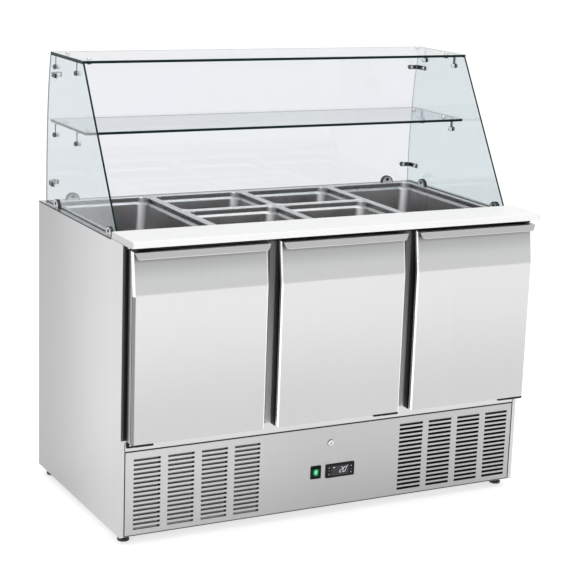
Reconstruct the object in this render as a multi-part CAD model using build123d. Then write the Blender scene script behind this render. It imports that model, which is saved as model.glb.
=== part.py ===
from build123d import *
import os

os.makedirs("parts", exist_ok=True)

# Refrigerated saladette: three-door stainless counter with a glass superstructure.
# Millimetres, +Z up, the doors face -Y, origin under the middle of the outline.

# driving dimensions
W = 1365.0            # overall width
D = 700.0             # cabinet depth, front flange to rear edge
BOARD_FRONT = -64.0   # board's front edge, measured from the cabinet's front plane
BOARD_REAR = 90.0
Z_FOOT = 25.0         # underside of the cabinet
Z_PLINTH = 284.0      # top of the service panel opening
Z_DOOR = 321.0        # underside of the doors
Z_FOLD = 756.0        # where a door's face starts to slope back
Z_DOORTOP = 880.0
Z_TOP = 892.0         # worktop surface
BOARD_T = 20.0
SHEET = 1.2
DOOR_X0 = 12.5        # left door's left edge
DOOR_W = 420.0
DOOR_PITCH = 460.0
DOOR_FRONT = -54.0
DOOR_REAR = -10.0
PIVOT_IN = 14.0       # hinge axis from the door's hinged edge
PIVOT_Y = -26.0
PIN_R = 4.0
RUN = 0.05            # running clearance on a radius
PAN_PITCH = 325.0     # gastronorm column
PAN_X0 = 32.5
PAN_REAR = 673.0
PAN_LEN = 530.0
PAN_DEEP = 150.0
GLASS_T = 6.0
GL_X = 20.0           # outer face of the left side glass
SHELF_T = 8.0
Z_SHELF_TOP = 1360.0  # top face of the upper shelf
Z_SHELF_MID = 1152.0
Z_SG = Z_SHELF_TOP - SHELF_T

YC = (BOARD_FRONT + D) / 2


def box(x0, x1, y0, y1, z0, z1):
    return Pos((x0 + x1) / 2 - W / 2, (y0 + y1) / 2 - YC, (z0 + z1) / 2) * Box(x1 - x0, y1 - y0, z1 - z0)


def ccw(pts):
    a = sum(p[0] * q[1] - q[0] * p[1] for p, q in zip(pts, pts[1:] + pts[:1]))
    return pts if a > 0 else pts[::-1]


def prism_x(pts, x0, x1):
    pts = ccw(pts)
    pl = Plane(origin=(x0 - W / 2, -YC, 0), x_dir=(0, 1, 0), z_dir=(1, 0, 0))
    return extrude(pl * Polygon(*pts, align=None), amount=x1 - x0)


def prism_y(pts, y0, y1):
    pts = ccw(pts)
    pl = Plane(origin=(-W / 2, y1 - YC, 0), x_dir=(1, 0, 0), z_dir=(0, -1, 0))
    return extrude(pl * Polygon(*pts, align=None), amount=y1 - y0)


def cyl(axis, a, b, c0, c1, r):
    """A cylinder. axis z: a=x b=y; axis y: a=x b=z; axis x: a=y b=z; c0..c1 along the axis."""
    h = c1 - c0
    m = (c0 + c1) / 2
    if axis == "z":
        return Pos(a - W / 2, b - YC, m) * Cylinder(r, h)
    if axis == "y":
        return Pos(a - W / 2, m - YC, b) * Rot(90, 0, 0) * Cylinder(r, h)
    return Pos(m - W / 2, a - YC, b) * Rot(0, 90, 0) * Cylinder(r, h)


def half_disc_x(y, z, x0, x1, r):
    return cyl("x", y, z, x0, x1, r) & box(x0 - 1, x1 + 1, y - r - 1, y + r + 1, z, z + r + 1)


def half_disc_y(x, z, y0, y1, r):
    return cyl("y", x, z, y0, y1, r) & box(x - r - 1, x + r + 1, y0 - 1, y1 + 1, z, z + r + 1)


def mirror_lr(s):
    return mirror(s, about=Plane.YZ)


def save(name, shape):
    if isinstance(shape, (list, tuple)):
        shape = Compound(children=list(shape))
    export_step(shape, "parts/%s.step" % name)


# ---------------------------------------------------------------- cabinet shell
side = box(0, SHEET, 0, D, Z_FOOT, Z_TOP)                       # outer sheet
side += box(SHEET, 12, 0, SHEET, Z_FOOT, Z_TOP - SHEET)         # front return
side += box(SHEET, 24, D - SHEET, D, Z_FOOT, Z_TOP - SHEET)     # rear return
side += box(SHEET, 60, 20, D - 20, Z_FOOT, Z_FOOT + SHEET)      # bottom return, carries the feet
FEET = [(30, 45), (30, 655)]
for fx, fy in FEET:
    side -= cyl("z", fx, fy, Z_FOOT - 1, Z_FOOT + 3, 4.3)
save("side_panel_left", side)
save("side_panel_right", mirror_lr(side))

base = box(SHEET, W - SHEET, 14, D - 2 * SHEET, Z_FOOT + SHEET, Z_FOOT + SHEET + 2)
for fx, fy in FEET:
    base -= cyl("z", fx, fy, 20, 40, 4.3)
    base -= cyl("z", W - fx, fy, 20, 40, 4.3)
save("base_plate", base)
Z_BASE = Z_FOOT + SHEET + 2

foot = cyl("z", 30, 45, 0, 9, 18) + cyl("z", 30, 45, 9, Z_FOOT, 11) + cyl("z", 30, 45, Z_FOOT, 38, 4)
feet = [foot, Pos(0, 610, 0) * foot, Pos(W - 60, 0, 0) * foot, Pos(W - 60, 610, 0) * foot]
save("feet", feet)

GLAND = (1240.0, 90.0)
back = box(SHEET, W - SHEET, D - 2 * SHEET, D - SHEET, Z_BASE, Z_TOP - SHEET)
with BuildSketch(Plane(origin=(-W / 2, D - YC, 0), x_dir=(1, 0, 0), z_dir=(0, -1, 0))) as sk:
    for gx in (230.0, 330.0, 900.0, 1000.0):
        for k in range(12):
            with Locations((gx, 60 + 15 * k)):
                SlotOverall(84, 6.5)
back -= extrude(sk.sketch, amount=3)
back -= cyl("y", GLAND[0], GLAND[1], D - 5, D + 1, 10.2)
save("back_panel", back)

gland = cyl("y", *GLAND, D - SHEET, D, 15) + cyl("y", *GLAND, D - 20, D - SHEET, 10)
gland += cyl("y", *GLAND, D - 2 * SHEET - 6, D - 2 * SHEET, 15)
gland -= cyl("y", *GLAND, D - 30, D + 1, 5)
save("cable_gland", gland)

# insulated tub: steel liner inside a foamed jacket
LX0, LX1, LY1, LZ0 = 42.0, W - 42.0, 664.0, 333.0
PIPE = [(930.0, 640.0), (955.0, 640.0)]
liner = box(LX0 - 1, LX1 + 1, 0, LY1 + 1, LZ0 - 1, Z_TOP - SHEET) - box(LX0, LX1, -1, LY1, LZ0, Z_TOP)
foam = box(SHEET, W - SHEET, SHEET, D - 2 * SHEET, 292, Z_TOP - SHEET) - box(
    LX0 - 1, LX1 + 1, -1, LY1 + 1, LZ0 - 1, Z_TOP)
for px, py in PIPE:
    hole = cyl("z", px, py, 280, 340, 7)
    liner -= hole
    foam -= hole
save("inner_liner", liner)

sill = box(12, W - 12, 0, SHEET, Z_PLINTH + 1, LZ0 - 1) + box(12, W - 12, SHEET, 19, Z_PLINTH + 1, Z_PLINTH + 2.2)
save("sill_rail", sill)

OPEN_Z0, OPEN_Z1 = 345.0, 862.0
openings = [(LX0, DOOR_X0 + DOOR_W - 28), (DOOR_X0 + DOOR_PITCH + 28, DOOR_X0 + DOOR_PITCH + DOOR_W - 28),
            (DOOR_X0 + 2 * DOOR_PITCH + 28, LX1)]
frame = box(0, W, -1.5, 0, 320, 890)
for a, b in openings:
    frame -= box(a, b, -3, 1, OPEN_Z0, OPEN_Z1)
save("front_frame", frame)

posts = [box(openings[0][1], openings[1][0], 0, 40, LZ0, Z_TOP - SHEET),
         box(openings[1][1], openings[2][0], 0, 40, LZ0, Z_TOP - SHEET)]
save("door_mullions", posts)

# ---------------------------------------------------------------- worktop, pans, board
WELL = (45.0, W - 45.0, 155.0, 661.0)
top = box(SHEET, W - SHEET, -34, D - 2 * SHEET, Z_TOP - SHEET, Z_TOP)
top += box(SHEET, W - SHEET, -34, -34 + SHEET, Z_TOP - 5, Z_TOP - SHEET)
top -= box(WELL[0], WELL[1], WELL[2], WELL[3], Z_TOP - 3, Z_TOP + 1)

bars = None
for i in (1, 2, 3):
    xb = PAN_X0 + i * PAN_PITCH
    b = box(xb - 10, xb + 10, WELL[2], WELL[3], Z_TOP - 10, Z_TOP)
    b += box(xb - 10, xb + 10, WELL[2] - 9, WELL[3] + 3, Z_TOP - 10, Z_TOP - SHEET)
    bars = b if bars is None else bars + b
ymid = PAN_REAR - PAN_LEN / 2
bars += box(PAN_X0 + PAN_PITCH, PAN_X0 + 3 * PAN_PITCH, ymid - 8, ymid + 8, Z_TOP - 10, Z_TOP)
save("pan_support_frame", bars)


def pan(x0, x1, y0, y1):
    """A gastronorm pan: flat rim on a tapered tub with rounded corners."""
    cx, cy = (x0 + x1) / 2 - W / 2, (y0 + y1) / 2 - YC
    sx, sy = x1 - x0, y1 - y0
    rim = Pos(cx, cy, Z_TOP) * extrude(RectangleRounded(sx - 1, sy - 1, 14), amount=1)
    out = extrude(Pos(cx, cy, Z_TOP) * RectangleRounded(sx - 26, sy - 26, 34), amount=-PAN_DEEP, taper=4)
    inn = extrude(Pos(cx, cy, Z_TOP + 1) * RectangleRounded(sx - 28, sy - 28, 33), amount=-(PAN_DEEP), taper=4)
    step = extrude(Pos(cx, cy, Z_TOP) * RectangleRounded(sx - 26, sy - 26, 34), amount=1)
    return (rim + out + step) - inn


py0 = PAN_REAR - PAN_LEN
cols = [PAN_X0 + PAN_PITCH * i for i in range(5)]
pans = {
    "pan_full_left": pan(cols[0], cols[1], py0, PAN_REAR),
    "pan_half_rear_left": pan(cols[1], cols[2], ymid, PAN_REAR),
    "pan_half_front_left": pan(cols[1], cols[2], py0, ymid),
    "pan_half_rear_right": pan(cols[2], cols[3], ymid, PAN_REAR),
    "pan_half_front_right": pan(cols[2], cols[3], py0, ymid),
    "pan_full_right": pan(cols[3], cols[4], py0, PAN_REAR),
}
for n, s in pans.items():
    save(n, s)

board = box(0, W, BOARD_FRONT, BOARD_REAR, Z_TOP, Z_TOP + BOARD_T)
board = fillet(board.edges().filter_by(Axis.Z), 6)
board = fillet(board.edges().filter_by(Axis.X).group_by(Axis.Z)[-1], 3)
save("cutting_board", board)

# ---------------------------------------------------------------- glass superstructure
REAR = [(655, Z_SG), (668, 1290), (678, 1215), (685.5, 1120), (689.5, 1030), (690.5, 950)]
REAR_FOOT = (690.5, Z_TOP)


def rear_y(z):
    for (ya, za), (yb, zb) in zip(REAR, REAR[1:]):
        if zb <= z <= za:
            return ya + (yb - ya) * (za - z) / (za - zb)
    return REAR_FOOT[0]


SG_FRONT_B, SG_FRONT_T = 94.0, 374.0
pl_left = Plane(origin=(GL_X - W / 2, -YC, 0), x_dir=(0, 1, 0), z_dir=(1, 0, 0))
bend = ((11, -62), (0, -1))
curve = Spline(*REAR, tangents=bend)
edge = make_face([Line((SG_FRONT_B, Z_TOP), (SG_FRONT_T, Z_SG)), Line((SG_FRONT_T, Z_SG), REAR[0]), curve,
                  Line(REAR[-1], REAR_FOOT), Line(REAR_FOOT, (SG_FRONT_B, Z_TOP))])
side_glass = extrude(pl_left * edge, amount=GLASS_T)

inner_pts = [(y - GLASS_T, z) for y, z in REAR]
foot_in = (REAR_FOOT[0] - GLASS_T, REAR_FOOT[1])
edge2 = make_face([curve, Line(REAR[-1], REAR_FOOT), Line(REAR_FOOT, foot_in), Line(foot_in, inner_pts[-1]),
                   Spline(*inner_pts, tangents=bend), Line(inner_pts[0], REAR[0])])
pl_rear = Plane(origin=(GL_X + GLASS_T + 0.5 - W / 2, -YC, 0), x_dir=(0, 1, 0), z_dir=(1, 0, 0))
rear_glass = extrude(pl_rear * edge2, amount=W - 2 * (GL_X + GLASS_T + 0.5))

TOP_Y = (374.0, 655.0)
MID_Y = (359.0, 665.0)
top_shelf = box(GL_X, W - GL_X, *TOP_Y, Z_SG, Z_SHELF_TOP)
mid_shelf = box(GL_X + GLASS_T + 2, W - GL_X - GLASS_T - 2, *MID_Y, Z_SHELF_MID - SHELF_T, Z_SHELF_MID)

# knob-and-bracket shelf supports, one near each end of both shelves
XI = GL_X + GLASS_T   # inner face of the left side glass
supports = []
for zs, ys in ((Z_SG, (430.0, 610.0)), (Z_SHELF_MID - SHELF_T, (425.0, 612.0))):
    for y in ys:
        zk = zs - 34
        s = cyl("x", y, zk, GL_X - 6, GL_X, 7.5) + cyl("x", y, zk, GL_X, XI, 4) + cyl("x", y, zk, XI, XI + 12, 7.5)
        s += box(XI, XI + 3, y - 5, y + 5, zk, zs)
        s += box(XI, XI + 44, y - 8, y + 8, zs - 3, zs)
        s += cyl("z", XI + 34, y, zs - 8, zs - 3, 8) + cyl("z", XI + 34, y, zs, zs + SHELF_T, 4)
        s += cyl("z", XI + 34, y, zs + SHELF_T, zs + SHELF_T + 3, 8)
        supports += [s, mirror_lr(s)]
        g = cyl("x", y, zk, GL_X - 1, XI + 1, 4.5)
        side_glass -= g
        h = cyl("z", XI + 34, y, zs - 1, zs + SHELF_T + 1, 4.5)
        if zs == Z_SG:
            top_shelf -= h
            top_shelf -= mirror_lr(h)
        else:
            mid_shelf -= h
            mid_shelf -= mirror_lr(h)
save("shelf_supports", supports)
save("top_glass_shelf", top_shelf)
save("middle_glass_shelf", mid_shelf)

# bent straps tying the side glasses to the curved rear glass
straps = []
for z in (1290.0, 952.0):
    yo = rear_y(z)
    yi = yo - GLASS_T
    yl = yi - 5
    s = box(XI, XI + 3, yl - 55, yl, z - 7, z + 7) + box(XI, XI + 36, yl - 3, yl, z - 7, z + 7)
    s += cyl("x", yl - 42, z, GL_X - 3, GL_X, 7) + cyl("x", yl - 42, z, GL_X, XI, 4)
    s += cyl("y", XI + 25, z, yl, yo + 4, 4) + cyl("y", XI + 25, z, yo + 1.5, yo + 4.5, 7)
    side_glass -= cyl("x", yl - 42, z, GL_X - 1, XI + 1, 4.5)
    h = cyl("y", XI + 25, z, yi - 5, yo + 6, 4.5)
    rear_glass -= h
    rear_glass -= mirror_lr(h)
    straps += [s, mirror_lr(s)]
save("corner_straps", straps)

# half-round base clamps bolted to the worktop
clamps = []
R = 22.0
for y in (150.0, 590.0):
    s = half_disc_x(y, Z_TOP, GL_X - 5, GL_X, R) + half_disc_x(y, Z_TOP, XI, XI + 5, R)
    s += cyl("x", y, Z_TOP + 10, GL_X, XI, 4)
    s += cyl("x", y, Z_TOP + 10, GL_X - 7, GL_X - 5, 6) + cyl("x", y, Z_TOP + 10, XI + 5, XI + 6.5, 6)
    s += cyl("z", GL_X - 2.5, y, Z_TOP - 8, Z_TOP, 2)
    side_glass -= cyl("x", y, Z_TOP + 10, GL_X - 1, XI + 1, 4.5)
    top -= cyl("z", GL_X - 2.5, y, Z_TOP - 3, Z_TOP + 1, 2.2)
    top -= cyl("z", W - GL_X + 2.5, y, Z_TOP - 3, Z_TOP + 1, 2.2)
    clamps += [s, mirror_lr(s)]
    foam -= cyl("z", GL_X - 2.5, y, Z_TOP - 12, Z_TOP + 1, 2.6)
    foam -= cyl("z", W - GL_X + 2.5, y, Z_TOP - 12, Z_TOP + 1, 2.6)
yo = REAR_FOOT[0]
for x in (110.0,):
    s = half_disc_y(x, Z_TOP, yo, yo + 4, R) + half_disc_y(x, Z_TOP, yo - GLASS_T - 5, yo - GLASS_T, R)
    s += cyl("y", x, Z_TOP + 10, yo - GLASS_T, yo, 4)
    s += cyl("z", x, yo - GLASS_T - 2.5, Z_TOP - 8, Z_TOP, 2)
    rear_glass -= cyl("y", x, Z_TOP + 10, yo - 10, yo + 5, 4.5)
    rear_glass -= cyl("y", W - x, Z_TOP + 10, yo - 10, yo + 5, 4.5)
    for xx in (x, W - x):
        top -= cyl("z", xx, yo - GLASS_T - 2.5, Z_TOP - 3, Z_TOP + 1, 2.2)
        foam -= cyl("z", xx, yo - GLASS_T - 2.5, Z_TOP - 12, Z_TOP + 1, 2.6)
    clamps += [s, mirror_lr(s)]
save("base_clamps", clamps)
save("cabinet_insulation", foam)
save("worktop", top)
save("side_glass_left", side_glass)
save("side_glass_right", mirror_lr(side_glass))
save("rear_glass", rear_glass)

# ---------------------------------------------------------------- doors and hinges
SECT = [(DOOR_REAR, Z_DOOR), (DOOR_FRONT, Z_DOOR), (DOOR_FRONT, Z_FOLD), (-38, 866), (-36, Z_DOORTOP),
        (DOOR_REAR, Z_DOORTOP)]
HOLLOW = [(DOOR_REAR + 1, Z_DOOR + 1), (DOOR_FRONT + 1, Z_DOOR + 1), (DOOR_FRONT + 1, Z_FOLD - 0.1), (-37, 866),
          (-35, Z_DOORTOP - 1), (DOOR_REAR + 1, Z_DOORTOP - 1)]
CORE = [(DOOR_REAR, Z_DOOR + 1), (DOOR_FRONT + 1, Z_DOOR + 1), (DOOR_FRONT + 1, Z_FOLD - 0.1), (-37, 866),
        (-35, Z_DOORTOP - 1), (DOOR_REAR, Z_DOORTOP - 1)]
LIP = [(-36, Z_DOORTOP), (-56.5, 878), (-61.5, 859), (-60.3, 858.7), (-55.5, 876.7), (-37, 878.6), (-36.1, 878.6)]

for i, name in enumerate(("left", "middle", "right")):
    x0 = DOOR_X0 + DOOR_PITCH * i
    x1 = x0 + DOOR_W
    on_left = i == 0
    px = x0 + PIVOT_IN if on_left else x1 - PIVOT_IN
    skin = prism_x(SECT, x0, x1) - prism_x(HOLLOW, x0 + 1, x1 - 1)
    lip = prism_x(LIP, x0, x1)
    # the lip's ends are cut on the slant
    lip -= prism_y([(x0 - 5, 880.5), (x0, 880.5), (x0 + 9, 850), (x0 - 5, 850)], -70, -40)
    lip -= prism_y([(x1 + 5, 880.5), (x1, 880.5), (x1 - 9, 850), (x1 + 5, 850)], -70, -40)
    skin += lip
    core = prism_x(CORE, x0 + 1, x1 - 1)
    lo = cyl("z", px, PIVOT_Y, 318.2, Z_DOOR, 10.5) + cyl("z", px, PIVOT_Y, Z_DOOR, 334, 8.5)
    lo -= cyl("z", px, PIVOT_Y, 317, 333, PIN_R + RUN)
    hi = cyl("z", px, PIVOT_Y, Z_DOORTOP, 882.3, 9.5) + cyl("z", px, PIVOT_Y, 865, Z_DOORTOP, 8.5)
    hi -= cyl("z", px, PIVOT_Y, 866, 883, PIN_R + RUN)
    for c in (cyl("z", px, PIVOT_Y, 315, 334, 8.5), cyl("z", px, PIVOT_Y, 865, 885, 8.5)):
        skin -= c
        core -= c
    gx0, gx1, gz0, gz1, gw = x0 + 16, x1 - 16, 333.0, 874.0, 12.0
    gasket = box(gx0, gx1, DOOR_REAR, -1.9, gz0, gz1) - box(gx0 + gw, gx1 - gw, -20, 0, gz0 + gw, gz1 - gw)
    save("%s_door_skin" % name, skin)
    save("%s_door_core" % name, core)
    save("%s_door_gasket" % name, gasket)
    save("%s_door_bushes" % name, [lo, hi])
    # fixed brackets with their pins, one under and one over the door
    hx0, hx1 = (px - 9.5, px + 46) if on_left else (px - 46, px + 9.5)
    blo = box(hx0, hx1, -40, 0, 315, 318) + box(hx0, hx1, -2.5, 0, 296, 315) + cyl("z", px, PIVOT_Y, 318, 331, PIN_R)
    bhi = box(hx0, hx1, -40, -1.5, 882.5, 885.5) + box(hx0, hx1, -4, -1.5, 876, 882.5)
    bhi += cyl("z", px, PIVOT_Y, 868, 882.5, PIN_R)
    save("%s_door_hinges" % name, [blo, bhi])

# ---------------------------------------------------------------- service panel and controls
PX0, PX1, PZ0, PZ1 = 12.5, W - 12.5, 26.0, Z_PLINTH - 0.5
LOCK = (688.0, 229.5)
SW_X, SW_Z = 639.0, 141.5          # centre of the switch
TH_X, TH_Z = 723.0, 139.5          # centre of the thermostat
panel = box(PX0, PX1, 0, SHEET, PZ0, PZ1)
panel += box(PX0, PX1, SHEET, 14, PZ1 - SHEET, PZ1)
panel += box(PX0, PX0 + SHEET, SHEET, 12, PZ0 + 6, PZ1) + box(PX1 - SHEET, PX1, SHEET, 12, PZ0 + 6, PZ1)
COLS = [(42, 125), (149.5, 232), (257, 339.5), (364, 446.5), (932, 1015.5), (1038, 1121), (1144.5, 1227),
        (1250, 1332)]
with BuildSketch(Plane(origin=(-W / 2, 2 - YC, 0), x_dir=(1, 0, 0), z_dir=(0, -1, 0))) as sk:
    for a, b in COLS:
        for k in range(16):
            with Locations(((a + b) / 2, 256.6 - 13.9 * k)):
                SlotOverall(b - a, 6.7)
panel -= extrude(sk.sketch, amount=4)
panel -= box(SW_X - 15, SW_X + 15, -1, 3, SW_Z - 18, SW_Z + 18)
panel -= box(TH_X - 45.5, TH_X + 45.5, -1, 3, TH_Z - 18.5, TH_Z + 18.5)
panel -= cyl("y", *LOCK, -1, 3, 8.1)
save("service_panel", panel)

# quarter-turn lock: the plug carries the cam arm that catches behind the sill
barrel = cyl("y", *LOCK, -2.5, 0, 10.5) + cyl("y", *LOCK, 0, 16, 8)
barrel -= cyl("y", *LOCK, -3, 17, 6)
save("lock_barrel", barrel)
cam = cyl("y", *LOCK, -2.0, 20, 6 - RUN) + box(LOCK[0] - 7, LOCK[0] + 59, 20, 23, LOCK[1] - 7, LOCK[1] + 7)
cam -= box(LOCK[0] - 0.8, LOCK[0] + 0.8, -3, -0.5, LOCK[1] - 3.5, LOCK[1] + 3.5)
save("lock_cam", cam)

house = box(SW_X - 18, SW_X + 18, -3, 0, SW_Z - 21, SW_Z + 21)
house += box(SW_X - 14.8, SW_X + 14.8, 0, 24, SW_Z - 17.8, SW_Z + 17.8)
house -= box(SW_X - 12.2, SW_X + 12.2, -4, 22, SW_Z - 16.2, SW_Z + 16.2)
house -= cyl("x", 4, SW_Z, SW_X - 15, SW_X + 15, 2.05)
save("switch_housing", house)
rock = box(SW_X - 11.6, SW_X + 11.6, -5, 9, SW_Z - 12.5, SW_Z + 12.5) + cyl("x", 4, SW_Z, SW_X - 14, SW_X + 14, 2.0)
save("switch_rocker", rock)

ctrl = box(TH_X - 50, TH_X + 50, -4, 0, TH_Z - 22, TH_Z + 22) + box(TH_X - 45, TH_X + 45, 0, 60, TH_Z - 18, TH_Z + 18)
ctrl = fillet(ctrl.edges().filter_by(Axis.Y).group_by(Axis.Y)[0], 3)
save("thermostat", ctrl)

# ---------------------------------------------------------------- refrigeration
cx, cy = 1060.0, 420.0
comp = cyl("z", cx, cy, 46, 170, 88) + Pos(cx - W / 2, cy - YC, 170) * Sphere(88)
comp &= box(cx - 90, cx + 90, cy - 90, cy + 90, 46, 232)
comp += box(cx - 105, cx + 105, cy - 70, cy + 70, 42, 46)
for sx in (-85, 85):
    for sy in (-55, 55):
        comp += cyl("z", cx + sx, cy + sy, Z_BASE, 42, 12)
save("compressor", comp)

CX0, CX1 = 60.0, 440.0
cond = box(CX0, CX1, 26, 66, 48, 252) + box(CX0 - 4, CX0, 22, 70, Z_BASE, 256) + box(CX1, CX1 + 4, 22, 70, Z_BASE, 256)
fins = None
for k in range(1, 27):
    f = box(CX0 + 14 * k, CX0 + 14 * k + 2, 22, 26, 52, 248)
    fins = f if fins is None else fins + f
cond += fins
save("condenser", cond)

FX, FZ = 250.0, 150.0


def blades(n, axis_x, axis_z, y0, y1, r0, r1, bore):
    s = cyl("y", axis_x, axis_z, y0, y1, r0)
    for k in range(n):
        b = Rot(0, 0, 28) * Box(r1 * 0.42, 2.0, r1 - r0 + 6)
        b = Pos(0, 0, (r1 + r0) / 2 - 3) * Rot(0, 0, 0) * b
        b = Pos(axis_x - W / 2, (y0 + y1) / 2 - YC, axis_z) * Rot(0, 360.0 / n * k, 0) * b
        s += b
    s -= cyl("y", axis_x, axis_z, y0 - 1, y1 + 1, bore)
    return s


fan = blades(5, FX, FZ, 84, 108, 26, 92, 4.05)
save("condenser_fan", fan)
motor = cyl("y", FX, FZ, 112, 150, 40) + cyl("y", FX, FZ, 80, 112, 4.0)
motor += box(FX - 22, FX + 22, 150, 154, Z_BASE, 190) + box(FX - 60, FX + 60, 130, 175, Z_BASE, Z_BASE + 3)
save("condenser_fan_motor", motor)

EX, EZ = 690.0, 585.0
evap = box(530, 850, 612, LY1, 470, 700)
ef = None
for k in range(1, 22):
    f = box(530 + 14 * k, 530 + 14 * k + 1.5, 607, 612, 475, 695)
    ef = f if ef is None else ef + f
evap += ef
evap += box(520, 860, 596, LY1, 452, 470) - box(522, 858, 598, LY1 - 2, 454, 470)   # condensate tray
evap += cyl("y", EX, EZ, 600, 612, 32) + cyl("y", EX, EZ, 572, 600, 3.0)
save("evaporator", evap)
efan = blades(5, EX, EZ, 576, 596, 18, 74, 3.05)
save("evaporator_fan", efan)

def pipe(pts, r):
    """Straight tubes joined by soldered elbows, a little fuller than the tube."""
    s = None
    for a, b in zip(pts, pts[1:]):
        va, vb = Vector(*a), Vector(*b)
        d = vb - va
        seg = Plane(origin=va, z_dir=d) * Cylinder(r, d.length, align=(Align.CENTER, Align.CENTER, Align.MIN))
        s = seg if s is None else s + seg
    for p in pts[1:-1]:
        s += Pos(*p) * Sphere(r * 1.15)
    return s


def P(x, y, z):
    return (x - W / 2, y - YC, z)


pipes = [
    pipe([P(1149, 420, 120), P(1175, 420, 120), P(1175, 640, 120), P(955, 640, 120), P(955, 640, 600),
          P(851, 640, 600)], 5),
    pipe([P(445, 46, 90), P(470, 46, 90), P(470, 640, 90), P(930, 640, 90), P(930, 640, 560),
          P(851, 640, 560)], 3.5),
    pipe([P(971, 420, 150), P(900, 420, 150), P(900, 200, 150), P(500, 200, 150), P(500, 46, 150),
          P(445, 46, 150)], 4),
]
save("refrigerant_pipes", pipes)

# ---------------------------------------------------------------- shelves in the cabinet
ZW = 438.0
clips = []
wire = {}
bays = {"left": (LX0, openings[0][1]), "middle": (openings[1][0], openings[1][1]), "right": (openings[2][0], LX1)}
for n, (a, b) in bays.items():
    sx0, sx1 = a + 6, b - 6
    sy0, sy1 = 48.0, 652.0
    s = None
    rods = [box(sx0, sx1, sy0, sy0 + 6, ZW, ZW + 6), box(sx0, sx1, sy1 - 6, sy1, ZW, ZW + 6),
            box(sx0, sx0 + 6, sy0, sy1, ZW, ZW + 6), box(sx1 - 6, sx1, sy0, sy1, ZW, ZW + 6),
            box(sx0, sx1, 250, 256, ZW, ZW + 4), box(sx0, sx1, 450, 456, ZW, ZW + 4)]
    nrod = 12
    for k in range(1, nrod):
        xr = sx0 + (sx1 - sx0) * k / nrod
        rods.append(box(xr - 1.5, xr + 1.5, sy0, sy1, ZW + 3, ZW + 6))
    for r_ in rods:
        s = r_ if s is None else s + r_
    wire[n] = s
    save("wire_shelf_%s" % n, s)
    for xa in (sx0 + 4, sx1 - 22):
        clips.append(box(xa, xa + 18, 40 if not ((n == "left" and xa < a + 20) or (n == "right" and xa > b - 40)) else 44,
                         64, ZW - 4, ZW))
        clips.append(box(xa, xa + 18, 634, LY1, ZW - 4, ZW))
# the outer front clips reach the tub's side walls
fixed_clips = []
for c in clips:
    bb = c.bounding_box()
    if bb.min.Y + YC > 43.5 and bb.max.Y + YC < 100:
        if bb.min.X + W / 2 < 100:
            c = c + box(LX0, bb.min.X + W / 2 + 1, 44, 64, ZW - 4, ZW)
        else:
            c = c + box(bb.max.X + W / 2 - 1, LX1, 44, 64, ZW - 4, ZW)
    fixed_clips.append(c)
save("shelf_clips", fixed_clips)
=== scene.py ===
import math

import bpy
import bmesh
from mathutils import Matrix, Vector


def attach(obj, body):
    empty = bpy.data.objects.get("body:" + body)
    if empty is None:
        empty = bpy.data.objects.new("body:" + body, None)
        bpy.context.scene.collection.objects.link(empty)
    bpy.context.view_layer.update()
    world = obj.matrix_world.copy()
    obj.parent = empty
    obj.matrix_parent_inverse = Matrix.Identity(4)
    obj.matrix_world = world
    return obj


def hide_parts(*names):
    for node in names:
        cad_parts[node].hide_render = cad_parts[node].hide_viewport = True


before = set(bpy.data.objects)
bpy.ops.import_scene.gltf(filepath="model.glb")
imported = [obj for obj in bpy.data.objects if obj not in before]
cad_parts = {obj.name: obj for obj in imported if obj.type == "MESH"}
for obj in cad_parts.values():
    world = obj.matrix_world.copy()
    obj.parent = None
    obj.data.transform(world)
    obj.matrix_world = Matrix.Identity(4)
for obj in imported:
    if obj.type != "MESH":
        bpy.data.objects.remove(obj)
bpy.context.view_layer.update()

# The drawing's own millimetres: x from the left side, y from the cabinet's front plane, z from the floor.
W, D, YC = 1365.0, 700.0, 318.0
TO_M = Matrix.Translation((-W / 2000.0, -YC / 1000.0, 0.0)) @ Matrix.Scale(0.001, 4)


def P(x, y, z):
    return Vector(((x - W / 2) / 1000.0, (y - YC) / 1000.0, z / 1000.0))


# ------------------------------------------------------------------ materials
def new_mat(name):
    m = bpy.data.materials.new(name)
    m.use_nodes = True
    nt = m.node_tree
    nt.nodes.clear()
    out = nt.nodes.new("ShaderNodeOutputMaterial")
    b = nt.nodes.new("ShaderNodeBsdfPrincipled")
    nt.links.new(b.outputs[0], out.inputs[0])
    return m, nt, b


def coords(nt, scale=(1, 1, 1), rot=(0, 0, 0)):
    tc = nt.nodes.new("ShaderNodeTexCoord")
    mp = nt.nodes.new("ShaderNodeMapping")
    mp.inputs["Scale"].default_value = scale
    mp.inputs["Rotation"].default_value = rot
    nt.links.new(tc.outputs["Object"], mp.inputs["Vector"])
    return mp.outputs["Vector"]


def noise(nt, vec, scale, detail=3.0, rough=0.55):
    n = nt.nodes.new("ShaderNodeTexNoise")
    n.inputs["Scale"].default_value = scale
    n.inputs["Detail"].default_value = detail
    n.inputs["Roughness"].default_value = rough
    nt.links.new(vec, n.inputs["Vector"])
    return n.outputs["Fac"]


def ramp(nt, fac, stops):
    r = nt.nodes.new("ShaderNodeValToRGB")
    el = r.color_ramp.elements
    while len(el) > len(stops):
        el.remove(el[-1])
    while len(el) < len(stops):
        el.new(0.5)
    for e, (p, c) in zip(el, stops):
        e.position = p
        e.color = (c[0], c[1], c[2], 1.0)
    nt.links.new(fac, r.inputs["Fac"])
    return r.outputs["Color"]


def maprange(nt, val, a, b, c, d, smooth=False):
    m = nt.nodes.new("ShaderNodeMapRange")
    m.interpolation_type = "SMOOTHSTEP" if smooth else "LINEAR"
    for k, v in (("From Min", a), ("From Max", b), ("To Min", c), ("To Max", d)):
        m.inputs[k].default_value = v
    nt.links.new(val, m.inputs["Value"])
    return m.outputs["Result"]


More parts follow.
